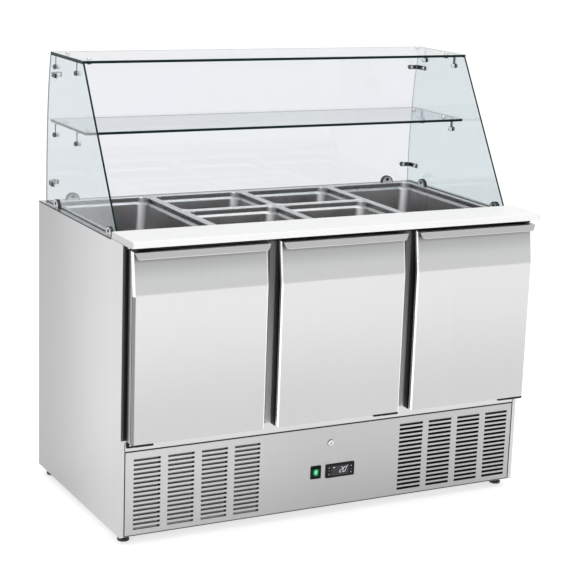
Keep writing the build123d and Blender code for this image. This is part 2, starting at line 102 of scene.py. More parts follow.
def math_node(nt, op, a, b=None):
    m = nt.nodes.new("ShaderNodeMath")
    m.operation = op
    for i, v in enumerate((a, b)):
        if v is None:
            continue
        if isinstance(v, (int, float)):
            m.inputs[i].default_value = v
        else:
            nt.links.new(v, m.inputs[i])
    return m.outputs[0]


def mix_rgb(nt, kind, fac, a, b):
    m = nt.nodes.new("ShaderNodeMix")
    m.data_type = "RGBA"
    m.blend_type = kind
    for sock, v in ((m.inputs[0], fac), (m.inputs[6], a), (m.inputs[7], b)):
        if isinstance(v, (int, float)):
            sock.default_value = v
        elif isinstance(v, tuple):
            sock.default_value = (v[0], v[1], v[2], 1.0)
        else:
            nt.links.new(v, sock)
    return m.outputs[2]


def bump(nt, b, height, strength, distance):
    n = nt.nodes.new("ShaderNodeBump")
    n.inputs["Strength"].default_value = strength
    n.inputs["Distance"].default_value = distance
    nt.links.new(height, n.inputs["Height"])
    nt.links.new(n.outputs["Normal"], b.inputs["Normal"])


def axis_value(nt, axis):
    tc = nt.nodes.new("ShaderNodeTexCoord")
    s = nt.nodes.new("ShaderNodeSeparateXYZ")
    nt.links.new(tc.outputs["Object"], s.inputs[0])
    return s.outputs["XYZ".index(axis)]


def steel(name, tone, tint=(1.0, 1.0, 1.0), grain="x", rough=(0.26, 0.36), shade=(), bump_s=0.05, metal=1.0,
          spread=0.035, cloud=0.03):
    """Brushed sheet: streaks along the grain, slow clouds of tone, a fine satin bump.
    shade holds (axis, metres from, metres to, factor from, factor to): painted light and shade, a slow fall of tone
    over a big sheet."""
    m, nt, b = new_mat(name)
    along, across = 6.0, 950.0
    sc = {"x": (along, across, across), "y": (across, along, across), "z": (across, across, along)}[grain]
    streak = noise(nt, coords(nt, sc), 1.0, 2.0, 0.6)
    broad = noise(nt, coords(nt, tuple(s * 0.12 for s in sc)), 1.0, 2.0, 0.5)
    clouds = noise(nt, coords(nt, (2.3, 2.3, 2.3)), 1.0, 2.0, 0.5)
    lo, hi = tone * (1 - spread), tone * (1 + spread)
    col = ramp(nt, streak, [(0.3, [lo * t for t in tint]), (0.7, [hi * t for t in tint])])
    col = mix_rgb(nt, "MULTIPLY", 1.0, col, ramp(nt, broad, [(0.3, [1 - cloud] * 3), (0.7, [1.0] * 3)]))
    col = mix_rgb(nt, "MULTIPLY", 1.0, col, ramp(nt, clouds, [(0.35, [1 - cloud] * 3), (0.65, [1.0] * 3)]))
    for axis, a, c, fa, fc in shade:
        f = maprange(nt, axis_value(nt, axis), a, c, 0.0, 1.0, True)
        col = mix_rgb(nt, "MULTIPLY", 1.0, col, ramp(nt, f, [(0.0, [fa] * 3), (1.0, [fc] * 3)]))
    nt.links.new(col, b.inputs["Base Color"])
    b.inputs["Metallic"].default_value = metal
    nt.links.new(maprange(nt, streak, 0.3, 0.7, rough[0], rough[1]), b.inputs["Roughness"])
    bump(nt, b, streak, bump_s, 0.0002)
    return m


def polished(name, tone, tint=(1.0, 1.0, 1.0), rough=(0.22, 0.27), spread=0.02, scale=7.0, corner=None):
    """Pressed, polished sheet: slow drifts of tone and of gloss, with hardly any grain.
    corner is (x, y, tone, roughness): a painted highlight, paler and duller, on the rounded corner that faces that way."""
    m, nt, b = new_mat(name)
    slow = noise(nt, coords(nt, (scale, scale, scale)), 1.0, 2.0, 0.5)
    fine = noise(nt, coords(nt, (420.0, 420.0, 420.0)), 1.0, 2.0, 0.5)
    col = ramp(nt, slow, [(0.35, [tone * (1 - spread) * t for t in tint]), (0.65, [tone * (1 + spread) * t for t in tint])])
    gloss = maprange(nt, slow, 0.35, 0.65, rough[0], rough[1])
    if corner:
        cx, cy, highlight_tone, crough = corner
        geo = nt.nodes.new("ShaderNodeNewGeometry")
        dot = nt.nodes.new("ShaderNodeVectorMath")
        dot.operation = "DOT_PRODUCT"
        dot.inputs[1].default_value = (cx, cy, 0.0)
        nt.links.new(geo.outputs["Normal"], dot.inputs[0])
        f = maprange(nt, dot.outputs["Value"], 0.78, 1.0, 0.0, 1.0, True)
        col = mix_rgb(nt, "MIX", f, col, tuple(highlight_tone * t for t in tint))
        g = nt.nodes.new("ShaderNodeMix")
        g.data_type = "FLOAT"
        nt.links.new(f, g.inputs[0])
        nt.links.new(gloss, g.inputs[2])
        g.inputs[3].default_value = crough
        gloss = g.outputs[0]
    nt.links.new(col, b.inputs["Base Color"])
    nt.links.new(gloss, b.inputs["Roughness"])
    b.inputs["Metallic"].default_value = 1.0
    bump(nt, b, fine, 0.012, 0.0001)
    return m


def plastic(name, lo, hi, rough=(0.35, 0.5), scale=260.0, bump_s=0.12, dist=0.0002, spec=0.5, metal=0.0, big=7.0):
    """Moulded or painted surface: a fine orange-peel grain with slow variation of tone."""
    m, nt, b = new_mat(name)
    fine = noise(nt, coords(nt), scale, 3.0, 0.6)
    slow = noise(nt, coords(nt), big, 2.0, 0.5)
    mid = [(p + q) / 2 for p, q in zip(lo, hi)]
    c1 = ramp(nt, fine, [(0.35, lo), (0.65, hi)])
    c2 = ramp(nt, slow, [(0.3, mid), (0.7, hi)])
    nt.links.new(mix_rgb(nt, "MIX", 0.5, c1, c2), b.inputs["Base Color"])
    nt.links.new(maprange(nt, fine, 0.3, 0.7, rough[0], rough[1]), b.inputs["Roughness"])
    b.inputs["Metallic"].default_value = metal
    b.inputs["Specular IOR Level"].default_value = spec
    bump(nt, b, fine, bump_s, dist)
    return m


def glass_mat(name, tint, gloss=0.5):
    """Clear sheet glass: a faint body tint with slow drifts of tone, and lamps let through."""
    m, nt, b = new_mat(name)
    slow = noise(nt, coords(nt, (1.6, 1.6, 1.6)), 1.0, 2.0, 0.5)
    warm = [tint[0] * 0.985, tint[1] * 1.0, tint[2] * 0.985]
    cool = [tint[0] * 1.0, tint[1] * 0.992, tint[2] * 1.012]
    nt.links.new(ramp(nt, slow, [(0.36, warm), (0.64, cool)]), b.inputs["Base Color"])
    b.inputs["Transmission Weight"].default_value = 1.0
    b.inputs["Roughness"].default_value = 0.0
    b.inputs["IOR"].default_value = 1.45
    b.inputs["Specular IOR Level"].default_value = gloss
    out = [n for n in nt.nodes if n.type == "OUTPUT_MATERIAL"][0]
    lp = nt.nodes.new("ShaderNodeLightPath")
    tr = nt.nodes.new("ShaderNodeBsdfTransparent")
    tr.inputs["Color"].default_value = (0.95, 0.965, 0.965, 1.0)
    mx = nt.nodes.new("ShaderNodeMixShader")
    either = math_node(nt, "MAXIMUM", lp.outputs["Is Shadow Ray"], lp.outputs["Is Diffuse Ray"])
    nt.links.new(either, mx.inputs[0])
    nt.links.new(b.outputs[0], mx.inputs[1])
    nt.links.new(tr.outputs[0], mx.inputs[2])
    nt.links.new(mx.outputs[0], out.inputs[0])
    return m


def slot_painted_shade(m, columns, top, pitch, rows, half):
    """Painted shade: dark for half a millimetre round each punched opening. Sizes in drawing millimetres."""
    nt = m.node_tree
    b = [n for n in nt.nodes if n.type == "BSDF_PRINCIPLED"][0]
    src = b.inputs["Base Color"].links[0].from_socket
    z, x = axis_value(nt, "Z"), axis_value(nt, "X")
    turn = math_node(nt, "FRACT", math_node(nt, "ADD", math_node(nt, "DIVIDE", math_node(nt, "SUBTRACT", z, top / 1000), pitch / 1000), 0.5))
    off = math_node(nt, "ABSOLUTE", math_node(nt, "SUBTRACT", turn, 0.5))
    row = math_node(nt, "LESS_THAN", off, half / pitch)
    row = math_node(nt, "MULTIPLY", row, math_node(nt, "LESS_THAN", z, (top + pitch / 2) / 1000))
    row = math_node(nt, "MULTIPLY", row, math_node(nt, "GREATER_THAN", z, (top - pitch * (rows - 0.5)) / 1000))
    col = None
    for a, c in columns:
        mid, reach = ((a + c) / 2 - W / 2) / 1000, ((c - a) / 2 + 0.5) / 1000
        hit = math_node(nt, "LESS_THAN", math_node(nt, "ABSOLUTE", math_node(nt, "SUBTRACT", x, mid)), reach)
        col = hit if col is None else math_node(nt, "ADD", col, hit)
    nt.links.new(mix_rgb(nt, "MIX", math_node(nt, "MULTIPLY", row, col), src, (0.004, 0.004, 0.004)), b.inputs["Base Color"])
    return m


def spangle(name, lo, hi, rough=(0.34, 0.5), size=55.0):
    """Galvanised sheet with its crystal spangle."""
    m, nt, b = new_mat(name)
    v = nt.nodes.new("ShaderNodeTexVoronoi")
    v.inputs["Scale"].default_value = size
    nt.links.new(coords(nt), v.inputs["Vector"])
    grey = nt.nodes.new("ShaderNodeRGBToBW")
    nt.links.new(v.outputs["Color"], grey.inputs[0])
    fine = noise(nt, coords(nt), 300.0, 2.0)
    col = ramp(nt, grey.outputs[0], [(0.2, lo), (0.8, hi)])
    nt.links.new(mix_rgb(nt, "MULTIPLY", 1.0, col, ramp(nt, fine, [(0.3, [0.94] * 3), (0.7, [1.0] * 3)])),
                 b.inputs["Base Color"])
    nt.links.new(maprange(nt, grey.outputs[0], 0.2, 0.8, rough[0], rough[1]), b.inputs["Roughness"])
    b.inputs["Metallic"].default_value = 1.0
    bump(nt, b, grey.outputs[0], 0.06, 0.0002)
    return m


MATS = {}


def frame_black(name):
    """The front frame's moulding: black, paler on the posts between the doors with a dark joint down their middle,
    and a little paler at the two outer edges."""
    m, nt, b = new_mat(name)
    fine = noise(nt, coords(nt), 220.0, 3.0, 0.6)
    away = math_node(nt, "ABSOLUTE", axis_value(nt, "X"))
    post = math_node(nt, "ABSOLUTE", math_node(nt, "SUBTRACT", away, 0.230))
    on_post = maprange(nt, post, 0.0235, 0.034, 1.0, 0.0, True)
    # painted shade: the posts darken towards the top and go black above the door tops, in the gap under the board
    below = maprange(nt, axis_value(nt, "Z"), 0.868, 0.880, 1.0, 0.0, True)
    joint = maprange(nt, math_node(nt, "ABSOLUTE", math_node(nt, "SUBTRACT", post, 0.0035)), 0.0006, 0.0026, 0.25, 1.0, True)
    fall = maprange(nt, axis_value(nt, "Z"), 0.45, 0.86, 1.0, 0.45, True)
    level = math_node(nt, "MULTIPLY", math_node(nt, "MULTIPLY", on_post, below), math_node(nt, "MULTIPLY", joint, fall))
    col = ramp(nt, level, [(0.0, (0.010, 0.010, 0.010)), (1.0, (0.54, 0.54, 0.542))])
    outer = maprange(nt, away, 0.6725, 0.6805, 0.0, 1.0, True)
    col = mix_rgb(nt, "MIX", outer, col, (0.095, 0.095, 0.095))
    col = mix_rgb(nt, "MULTIPLY", 1.0, col, ramp(nt, fine, [(0.35, [0.9] * 3), (0.65, [1.0] * 3)]))
    nt.links.new(col, b.inputs["Base Color"])
    nt.links.new(maprange(nt, fine, 0.3, 0.7, 0.34, 0.48), b.inputs["Roughness"])
    b.inputs["Specular IOR Level"].default_value = 0.3
    bump(nt, b, fine, 0.1, 0.0002)
    return m


def build_materials():
    # height runs of the painted-in tone follow the photograph's slow fall of light over each big sheet
    M = MATS
    # door face: painted shade, darker towards the bottom, and a painted shadow under the lip at the top of the slope
    M["door"] = steel("door_satin_steel", 0.695, (1.0, 1.0, 0.995), "z", (0.29, 0.32),
                      [("Z", 0.33, 0.76, 0.765, 1.0), ("Z", 0.842, 0.858, 1.0, 0.60), ("Z", 0.79, 0.85, 1.0, 0.75)],
                      bump_s=0.02, spread=0.006, cloud=0.012)
    # door bends: a near-white copy of the door steel as a painted highlight, and a dark copy as painted shade on the
    # left door's outer bend below the fold
    M["door_bend_painted_highlight"] = steel("door_bend_painted_highlight_steel", 0.98, (1.0, 1.0, 1.0), "z", (0.22, 0.26), bump_s=0.02, spread=0.01,
                           cloud=0.01)
    M["door_bend_painted_shade"] = steel("door_bend_painted_shade_steel", 0.24, (1.0, 1.0, 1.0), "z", (0.25, 0.3), spread=0.02)
    M["lip"] = steel("lip_satin_steel", 0.63, (1.0, 1.0, 1.0), "x", (0.27, 0.31), bump_s=0.02, spread=0.006, cloud=0.012)
    # door rear pan sides: painted shade, darker towards the back; a near-black copy is painted deep shade in the gaps
    # between doors
    M["door_side"] = steel("door_side_steel", 0.46, (1.0, 1.0, 1.0), "z", (0.26, 0.32), [("Y", -0.352, -0.330, 1.0, 0.40)],
                           spread=0.02)
    M["door_side_painted_deep_shade"] = steel("door_side_painted_deep_shade_steel", 0.12, (1.0, 1.0, 1.0), "z", (0.3, 0.4),
                                [("Y", -0.356, -0.332, 0.12, 1.0)], spread=0.03)
    # side panels: painted shade, darker towards the back and a little towards the bottom
    M["side"] = steel("side_satin_steel", 0.612, (1.0, 1.0, 1.01), "z", (0.32, 0.36),
                      [("Y", -0.28, 0.38, 1.0, 0.65), ("Z", 0.03, 0.7, 0.95, 1.0)], bump_s=0.02, spread=0.006, cloud=0.03)
    # service panel: painted shade, darker towards the bottom and from the paler left end towards the right
    M["plinth"] = steel("plinth_satin_steel", 0.490, (1.0, 1.0, 0.995), "x", (0.28, 0.33),
                        [("Z", 0.03, 0.28, 0.88, 1.0), ("X", -0.66, 0.1, 1.13, 0.95)], bump_s=0.02, spread=0.008,
                        cloud=0.015)
    # painted shade round the punched slots
    slot_painted_shade(M["plinth"], [(42, 125), (149.5, 232), (257, 339.5), (364, 446.5)], 256.6, 13.9, 16, 3.55)
    slot_painted_shade(M["plinth"], [(932, 1015.5), (1038, 1121), (1144.5, 1227), (1250, 1332)], 256.6, 13.9, 16, 3.9)
    M["sill"] = steel("sill_satin_steel", 0.61, (1.0, 1.0, 1.0), "x", (0.28, 0.33), spread=0.01)
    M["top"] = polished("worktop_satin_steel", 0.52, rough=(0.26, 0.31))
    M["liner"] = steel("liner_steel", 0.66, (1.0, 1.0, 1.0), "x", (0.3, 0.42))
    # pan walls and neck: a painted highlight down the rounded corner that faces front-left
    M["pan"] = polished("pressed_pan_steel", 0.43, (1.0, 0.99, 1.0), (0.26, 0.31), 0.05, 6.0,
                        corner=(-0.72, -0.69, 0.78, 0.5))
    # the pressed pan sheet in lit and shaded copies: painted shade on the neck, paler rim and ledge as painted light on
    # the up-facing parts, a near-white painted highlight on the front rim of the rear half pans
    M["neck"] = polished("pan_neck_painted_shade_steel", 0.22, (1.0, 0.99, 1.0), (0.24, 0.30), 0.04, 6.0,
                         corner=(-0.72, -0.69, 0.36, 0.4))
    M["rim"] = polished("pan_rim_steel", 0.70, (1.0, 1.0, 1.0), (0.2, 0.25), 0.03, 9.0)
    M["rim_painted_highlight"] = polished("pan_front_rim_painted_highlight_steel", 0.99, (1.0, 1.0, 1.0), (0.16, 0.2), 0.01, 9.0)
    M["ledge"] = polished("pan_ledge_steel", 0.50, (1.0, 1.0, 1.0), (0.22, 0.27), 0.03, 9.0)
    M["galv"] = spangle("galvanised_sheet", (0.47, 0.48, 0.49), (0.56, 0.57, 0.58), size=150.0)
    M["frame"] = frame_black("frame_black_moulding")
    M["black"] = plastic("black_moulding", (0.012, 0.012, 0.013), (0.022, 0.022, 0.024), (0.32, 0.46))
    M["gasket"] = plastic("seal_rubber", (0.02, 0.02, 0.02), (0.035, 0.035, 0.035), (0.55, 0.7), 500.0, 0.2)
    M["groove"] = plastic("seam_rubber", (0.012, 0.012, 0.012), (0.025, 0.025, 0.025), (0.6, 0.75), 400.0, 0.1,
                          0.0002, 0.2)
    M["seal"] = plastic("panel_edge_seal", (0.015, 0.015, 0.016), (0.035, 0.035, 0.036), (0.5, 0.65), 300.0, 0.1, 0.0002,
                        0.2)
    # a near-black mat as painted shade behind the right-hand slots
    M["mat"] = plastic("slot_backing_painted_shade", (0.004, 0.004, 0.004), (0.008, 0.008, 0.008), (0.8, 0.95), 380.0, 0.6, 0.0006, 0.05)
    # the louvre tongues: a darker copy of the panel steel as painted shade
    M["louvre"] = steel("louvre_painted_shade_steel", 0.30, (1.0, 1.0, 1.0), "x", (0.4, 0.5), spread=0.04, metal=0.6)
    M["hinge"] = plastic("black_enamel", (0.006, 0.006, 0.006), (0.012, 0.012, 0.013), (0.4, 0.55), 420.0, 0.08, 0.0002, 0.2)
    M["zinc"] = spangle("zinc_plate", (0.55, 0.55, 0.53), (0.72, 0.72, 0.70), (0.25, 0.4))
    M["bush"] = plastic("bearing_nylon", (0.10, 0.10, 0.10), (0.15, 0.15, 0.15), (0.4, 0.55))
    M["foam"] = plastic("rigid_foam", (0.66, 0.58, 0.34), (0.82, 0.75, 0.52), (0.8, 0.95), 340.0, 0.5, 0.0008)
    M["board"] = plastic("white_polyethylene", (0.765, 0.765, 0.76), (0.825, 0.825, 0.82), (0.38, 0.52), 420.0, 0.10,
                         0.00015, 0.4)
    # greyer copies of the board plastic as painted shade: on the ends and rounded corners, and on the top face
    M["board_end_painted_shade"] = plastic("white_polyethylene_painted_end_shade", (0.50, 0.50, 0.495), (0.56, 0.56, 0.555), (0.45, 0.6), 420.0, 0.12,
                             0.00015, 0.3)
    M["board_top_painted_shade"] = plastic("white_polyethylene_painted_top_shade", (0.705, 0.705, 0.70), (0.76, 0.76, 0.755), (0.38, 0.52), 420.0, 0.10,
                             0.00015, 0.4)
    # one clear glass in four tones, each pane set to how bright it shows: painted light and shade, the right-hand side
    # pane darkest
    M["glass"] = glass_mat("clear_glass_left", (0.765, 0.812, 0.822))
    M["glass_right_painted_shade"] = glass_mat("clear_glass_right_painted_shade", (0.628, 0.680, 0.705))
    M["glass_rear"] = glass_mat("clear_glass_rear", (0.755, 0.766, 0.790), 0.2)
    M["glass_shelf"] = glass_mat("clear_glass_shelf", (0.880, 0.905, 0.925))
    M["edge"] = plastic("glass_edge_green", (0.001, 0.010, 0.009), (0.002, 0.016, 0.015), (0.25, 0.35), 120.0, 0.03,
                        0.0001, 0.10)
    # a paler copy of the glass edge as painted light, on the side panes' bottom faces and round the rear pane
    M["edge_painted_light"] = plastic("glass_edge_painted_light", (0.30, 0.36, 0.38), (0.42, 0.48, 0.50), (0.08, 0.16), 120.0, 0.03,
                             0.0001, 0.5)
    # the fittings' plating in lit and shaded copies: the dark copies are painted dark reflections, the pale satin is
    # painted light
    M["chrome"] = steel("bright_chrome", 0.78, (0.98, 1.0, 1.01), "z", (0.06, 0.12), bump_s=0.01, spread=0.01)
    M["dark_chrome"] = steel("chrome_painted_dark_reflection", 0.10, (0.97, 1.0, 1.03), "z", (0.16, 0.26), bump_s=0.01, spread=0.03)
    M["satin"] = polished("satin_chrome_painted_light", 0.92, (0.99, 1.0, 1.01), (0.26, 0.32))
    M["strap"] = steel("strap_steel_painted_dark_reflection", 0.13, (0.98, 1.0, 1.02), "z", (0.2, 0.3), bump_s=0.01, spread=0.03)
    M["foot"] = plastic("foot_moulding", (0.015, 0.015, 0.016), (0.03, 0.03, 0.031), (0.45, 0.6))
    M["stud"] = spangle("zinc_stud", (0.5, 0.5, 0.48), (0.66, 0.66, 0.63), (0.3, 0.4))
    M["compressor"] = plastic("compressor_enamel", (0.012, 0.012, 0.013), (0.022, 0.022, 0.023), (0.24, 0.36), 160.0,
                              0.15, 0.0004)
    M["fin"] = steel("fin_aluminium", 0.62, (0.98, 1.0, 1.02), "z", (0.3, 0.42))
    M["fan"] = plastic("fan_moulding", (0.02, 0.02, 0.021), (0.035, 0.035, 0.036), (0.35, 0.5))
    M["wire"] = steel("plated_wire", 0.72, (1.0, 1.0, 1.0), "x", (0.14, 0.24), bump_s=0.02)
    M["control"] = plastic("control_moulding", (0.005, 0.005, 0.006), (0.009, 0.009, 0.010), (0.3, 0.4), 500.0, 0.04,
                           0.0002, 0.15)
    M["window"] = plastic("display_window", (0.030, 0.030, 0.036), (0.042, 0.042, 0.048), (0.2, 0.28), 90.0, 0.01,
                          0.0001, 0.2)
    M["gland"] = plastic("gland_nylon", (0.02, 0.02, 0.02), (0.04, 0.04, 0.04), (0.4, 0.55))
    M["lock"] = steel("lock_plating", 0.72, (1.0, 1.0, 1.0), "z", (0.1, 0.2), bump_s=0.01, spread=0.02)

    # copper, with a faint tarnish
    m, nt, b = new_mat("drawn_copper")
    n1 = noise(nt, coords(nt), 24.0, 3.0)
    n2 = noise(nt, coords(nt), 700.0, 2.0)
    nt.links.new(ramp(nt, n1, [(0.3, (0.42, 0.19, 0.10)), (0.7, (0.72, 0.38, 0.22))]), b.inputs["Base Color"])
    nt.links.new(maprange(nt, n1, 0.3, 0.7, 0.42, 0.24), b.inputs["Roughness"])
    b.inputs["Metallic"].default_value = 1.0
    bump(nt, b, n2, 0.05, 0.0001)
    M["copper"] = m

    # lit marks on the display
    m, nt, b = new_mat("display_white")
    n1 = noise(nt, coords(nt), 900.0, 2.0)
    nt.links.new(ramp(nt, n1, [(0.3, (0.78, 0.80, 0.82)), (0.7, (0.95, 0.96, 0.97))]), b.inputs["Base Color"])
    b.inputs["Emission Color"].default_value = (0.92, 0.95, 1.0, 1.0)
    b.inputs["Emission Strength"].default_value = 0.25
    nt.links.new(maprange(nt, n1, 0.3, 0.7, 0.3, 0.45), b.inputs["Roughness"])
    M["digit"] = m
    m, nt, b = new_mat("display_icon_grey")
    n1 = noise(nt, coords(nt), 900.0, 2.0)
    nt.links.new(ramp(nt, n1, [(0.3, (0.32, 0.32, 0.33)), (0.7, (0.46, 0.46, 0.47))]), b.inputs["Base Color"])
    nt.links.new(maprange(nt, n1, 0.3, 0.7, 0.4, 0.55), b.inputs["Roughness"])
    M["icon"] = m

    # the lit rocker: dark green cap with a glowing oval in the middle
    m, nt, b = new_mat("lit_green_rocker")
    tc = nt.nodes.new("ShaderNodeTexCoord")
    mp = nt.nodes.new("ShaderNodeMapping")
    c = P(638.3, 0, 142.2)
    mp.vector_type = "POINT"
    sx, sz = 1000.0 / 8.8, 1000.0 / 11.8
    mp.inputs["Scale"].default_value = (sx, 0.0, sz)
    mp.inputs["Location"].default_value = (-c[0] * sx, 0.0, -c[2] * sz)
    nt.links.new(tc.outputs["Object"], mp.inputs["Vector"])
    ln = nt.nodes.new("ShaderNodeVectorMath")
    ln.operation = "LENGTH"
    nt.links.new(mp.outputs["Vector"], ln.inputs[0])
    wob = noise(nt, coords(nt), 160.0, 2.0)
    dist = math_node(nt, "ADD", ln.outputs["Value"], math_node(nt, "MULTIPLY", math_node(nt, "SUBTRACT", wob, 0.5), 0.22))
    stops = [(0.0, (0.16, 0.62, 0.34)), (0.38, (0.07, 0.48, 0.22)), (0.56, (0.003, 0.05, 0.024)),
             (1.0, (0.002, 0.022, 0.012))]
    scaled = math_node(nt, "MULTIPLY", dist, 0.62)
    colour = ramp(nt, scaled, stops)
    nt.links.new(colour, b.inputs["Base Color"])
    nt.links.new(ramp(nt, scaled, [(0.0, (0.12, 0.46, 0.26)), (0.38, (0.03, 0.30, 0.12)), (0.56, (0.0, 0.03, 0.012)),
                                   (1.0, (0.0, 0.004, 0.002))]), b.inputs["Emission Color"])
    b.inputs["Emission Strength"].default_value = 0.6
    nt.links.new(maprange(nt, wob, 0.3, 0.7, 0.22, 0.32), b.inputs["Roughness"])
    b.inputs["Specular IOR Level"].default_value = 0.15
    M["rocker"] = m


build_materials()


# ------------------------------------------------------------------ mesh kit (drawing millimetres)
def prism(poly, axis, c0, c1):
    """A closed solid with this outline. axis x: outline in (y, z); y: (x, z); z: (x, y)."""
    bm = bmesh.new()

    def pt(a, b, c):
        return {"x": (c, a, b), "y": (a, c, b), "z": (a, b, c)}[axis]

    lo = [bm.verts.new(pt(a, b, c0)) for a, b in poly]
    hi = [bm.verts.new(pt(a, b, c1)) for a, b in poly]
    n = len(poly)
    bm.faces.new(lo)
    bm.faces.new(hi)
    for i in range(n):
        j = (i + 1) % n
        bm.faces.new((lo[i], lo[j], hi[j], hi[i]))
    return bm


def block(x0, x1, y0, y1, z0, z1):
    return prism([(x0, y0), (x1, y0), (x1, y1), (x0, y1)], "z", z0, z1)


def loft(loops, caps=(True, True), ring=False):
    bm = bmesh.new()
    rows = [[bm.verts.new(p) for p in lp] for lp in loops]
    n = len(rows[0])
    pairs = list(zip(rows, rows[1:])) + ([(rows[-1], rows[0])] if ring else [])
    for a, b in pairs:
        for i in range(n):
            j = (i + 1) % n
            bm.faces.new((a[i], a[j], b[j], b[i]))
    if not ring and caps[0]:
        bm.faces.new(rows[0])
    if not ring and caps[1]:
        bm.faces.new(rows[-1])
    return bm


def lathe(profile, axis, centre, n=40, ring=False, start=0.0):
    """A turned solid. profile: (radius, place along the axis)."""
    ca, cb = centre
    loops = []
    for r, h in profile:
        r = max(r, 0.02)
        lp = []
        for k in range(n):
            t = start + 2 * math.pi * k / n
            a, b = ca + r * math.cos(t), cb + r * math.sin(t)
            lp.append({"x": (h, a, b), "y": (a, h, b), "z": (a, b, h)}[axis])
        loops.append(lp)
    return loft(loops, ring=ring)


def round_path(pts, r, seg=6):
    """An open line with its corners rounded to about radius r."""
    pts = [Vector(p) for p in pts]
    out = [pts[0]]
    for a, b, c in zip(pts, pts[1:], pts[2:]):
        d1, d2 = (a - b), (c - b)
        l1, l2 = d1.length, d2.length
        d1.normalize()
        d2.normalize()
        ang = d1.angle(d2)
        t = min(r / max(math.tan(ang / 2), 1e-6), 0.49 * l1, 0.49 * l2)
        p, q = b + d1 * t, b + d2 * t
        for k in range(seg + 1):
            s = k / seg
            out.append(p * (1 - s) ** 2 + b * 2 * s * (1 - s) + q * s * s)
    out.append(pts[-1])
    return out


def round_poly(pts, r, seg=4):
    """A closed flat outline with rounded corners. r is one radius or one for each corner."""
    n = len(pts)
    rs = r if isinstance(r, (list, tuple)) else [r] * n
    out = []
    for i in range(n):
        a, b, c = Vector(pts[i - 1]), Vector(pts[i]), Vector(pts[(i + 1) % n])
        if rs[i] <= 0:
            out.append(tuple(b))
            continue
        d1, d2 = a - b, c - b
        l1, l2 = d1.length, d2.length
        d1.normalize()
        d2.normalize()
        ang = d1.angle(d2)
        t = min(rs[i] / max(math.tan(ang / 2), 1e-6), 0.49 * l1, 0.49 * l2)
        p, q = b + d1 * t, b + d2 * t
        for k in range(seg + 1):
            s = k / seg
            out.append(tuple(p * (1 - s) ** 2 + b * 2 * s * (1 - s) + q * s * s))
    return out


def tube(pts, r, n=10, closed=False):
    """A round bar along a line."""
    pts = [Vector(p) for p in pts]
    m = len(pts)
    tang = []
    for i in range(m):
        if closed:
            t = pts[(i + 1) % m] - pts[i - 1]
        else:
            t = pts[min(i + 1, m - 1)] - pts[max(i - 1, 0)]
        tang.append(t.normalized())
    up = Vector((0, 0, 1)) if abs(tang[0].z) < 0.9 else Vector((1, 0, 0))
    u = tang[0].cross(up).normalized()
    loops = []
    for i in range(m):
        t = tang[i]
        u = (u - t * u.dot(t)).normalized()
        v = t.cross(u)
        loops.append([pts[i] + u * (r * math.cos(2 * math.pi * k / n)) + v * (r * math.sin(2 * math.pi * k / n))
                      for k in range(n)])
    return loft(loops, ring=closed)


def rrect(cx, cy, hx, hy, r, z, k=9):
    """A rounded rectangle at one height, for lofts."""
    out = []
    for sx, sy, a0 in ((1, 1, 0), (-1, 1, 90), (-1, -1, 180), (1, -1, 270)):
        for i in range(k + 1):
            t = math.radians(a0 + 90.0 * i / k)
            out.append((cx + sx * (hx - r) + r * math.cos(t), cy + sy * (hy - r) + r * math.sin(t), z))
    return out


def frame_ring(outer, inner, axis, c0, c1):
    """A flat frame: two outlines with the same number of points, extruded."""

    def put(poly, c):
        return [{"x": (c, a, b), "y": (a, c, b), "z": (a, b, c)}[axis] for a, b in poly]

    return loft([put(outer, c0), put(outer, c1), put(inner, c1), put(inner, c0)], ring=True)


def merge(*bms):
    base = bms[0]
    for b in bms[1:]:
        me = bpy.data.meshes.new("scratch")
        b.to_mesh(me)
        b.free()
        base.from_mesh(me)
        bpy.data.meshes.remove(me)
    return base


def mirror_x(bm):
    """The same shape on the other side of the counter."""
    for v in bm.verts:
        v.co.x = W - v.co.x
    bmesh.ops.reverse_faces(bm, faces=bm.faces)
    return bm


def spin(bm, axis, centre, angle):
    """Turns a shape about a point of the drawing."""
    c = Vector(centre)
    m = Matrix.Translation(c) @ Matrix.Rotation(angle, 4, axis) @ Matrix.Translation(-c)
    bmesh.ops.transform(bm, matrix=m, verts=bm.verts)
    return bm


class Piece:
    """One visible piece, gathered from worked solids, riding on one body of the frame."""

    def __init__(self, name, body, nodes=(), slot=None, sharp=32):
        self.name, self.body, self.nodes, self.slot, self.sharp = name, body, nodes, slot, sharp
        self.bm = bmesh.new()
        self.mats = []

    def index(self, mat):
        if mat not in self.mats:
            self.mats.append(mat)
        return self.mats.index(mat)

    def add(self, bm, mat, bevel=0.0, seg=2, angle=35, pick=None):
        bmesh.ops.recalc_face_normals(bm, faces=bm.faces)
        if bevel > 0:
            edges = [e for e in bm.edges if len(e.link_faces) == 2 and e.calc_face_angle(0.0) > math.radians(angle)]
            bmesh.ops.bevel(bm, geom=edges, offset=bevel, offset_type="OFFSET", segments=seg, profile=0.5,
                            affect="EDGES", clamp_overlap=True)
        a = self.index(mat)
        for f in bm.faces:
            f.smooth = True
            other = pick(f) if pick else None
            f.material_index = self.index(other) if other else a
        me = bpy.data.meshes.new("scratch")
        bm.to_mesh(me)
        bm.free()
        self.bm.from_mesh(me)
        bpy.data.meshes.remove(me)
        return self

    def done(self):
        self.bm.transform(TO_M)
        me = bpy.data.meshes.new(self.name)
        self.bm.to_mesh(me)
        self.bm.free()
        for m in self.mats:
            me.materials.append(MATS[m])
        me.set_sharp_from_angle(angle=math.radians(self.sharp))
        o = bpy.data.objects.new(self.name, me)
        bpy.context.scene.collection.objects.link(o)
        wn = o.modifiers.new("even_normals", "WEIGHTED_NORMAL")
        wn.keep_sharp = True
        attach(o, self.body)
        if self.nodes:
            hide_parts(*self.nodes)
        return o


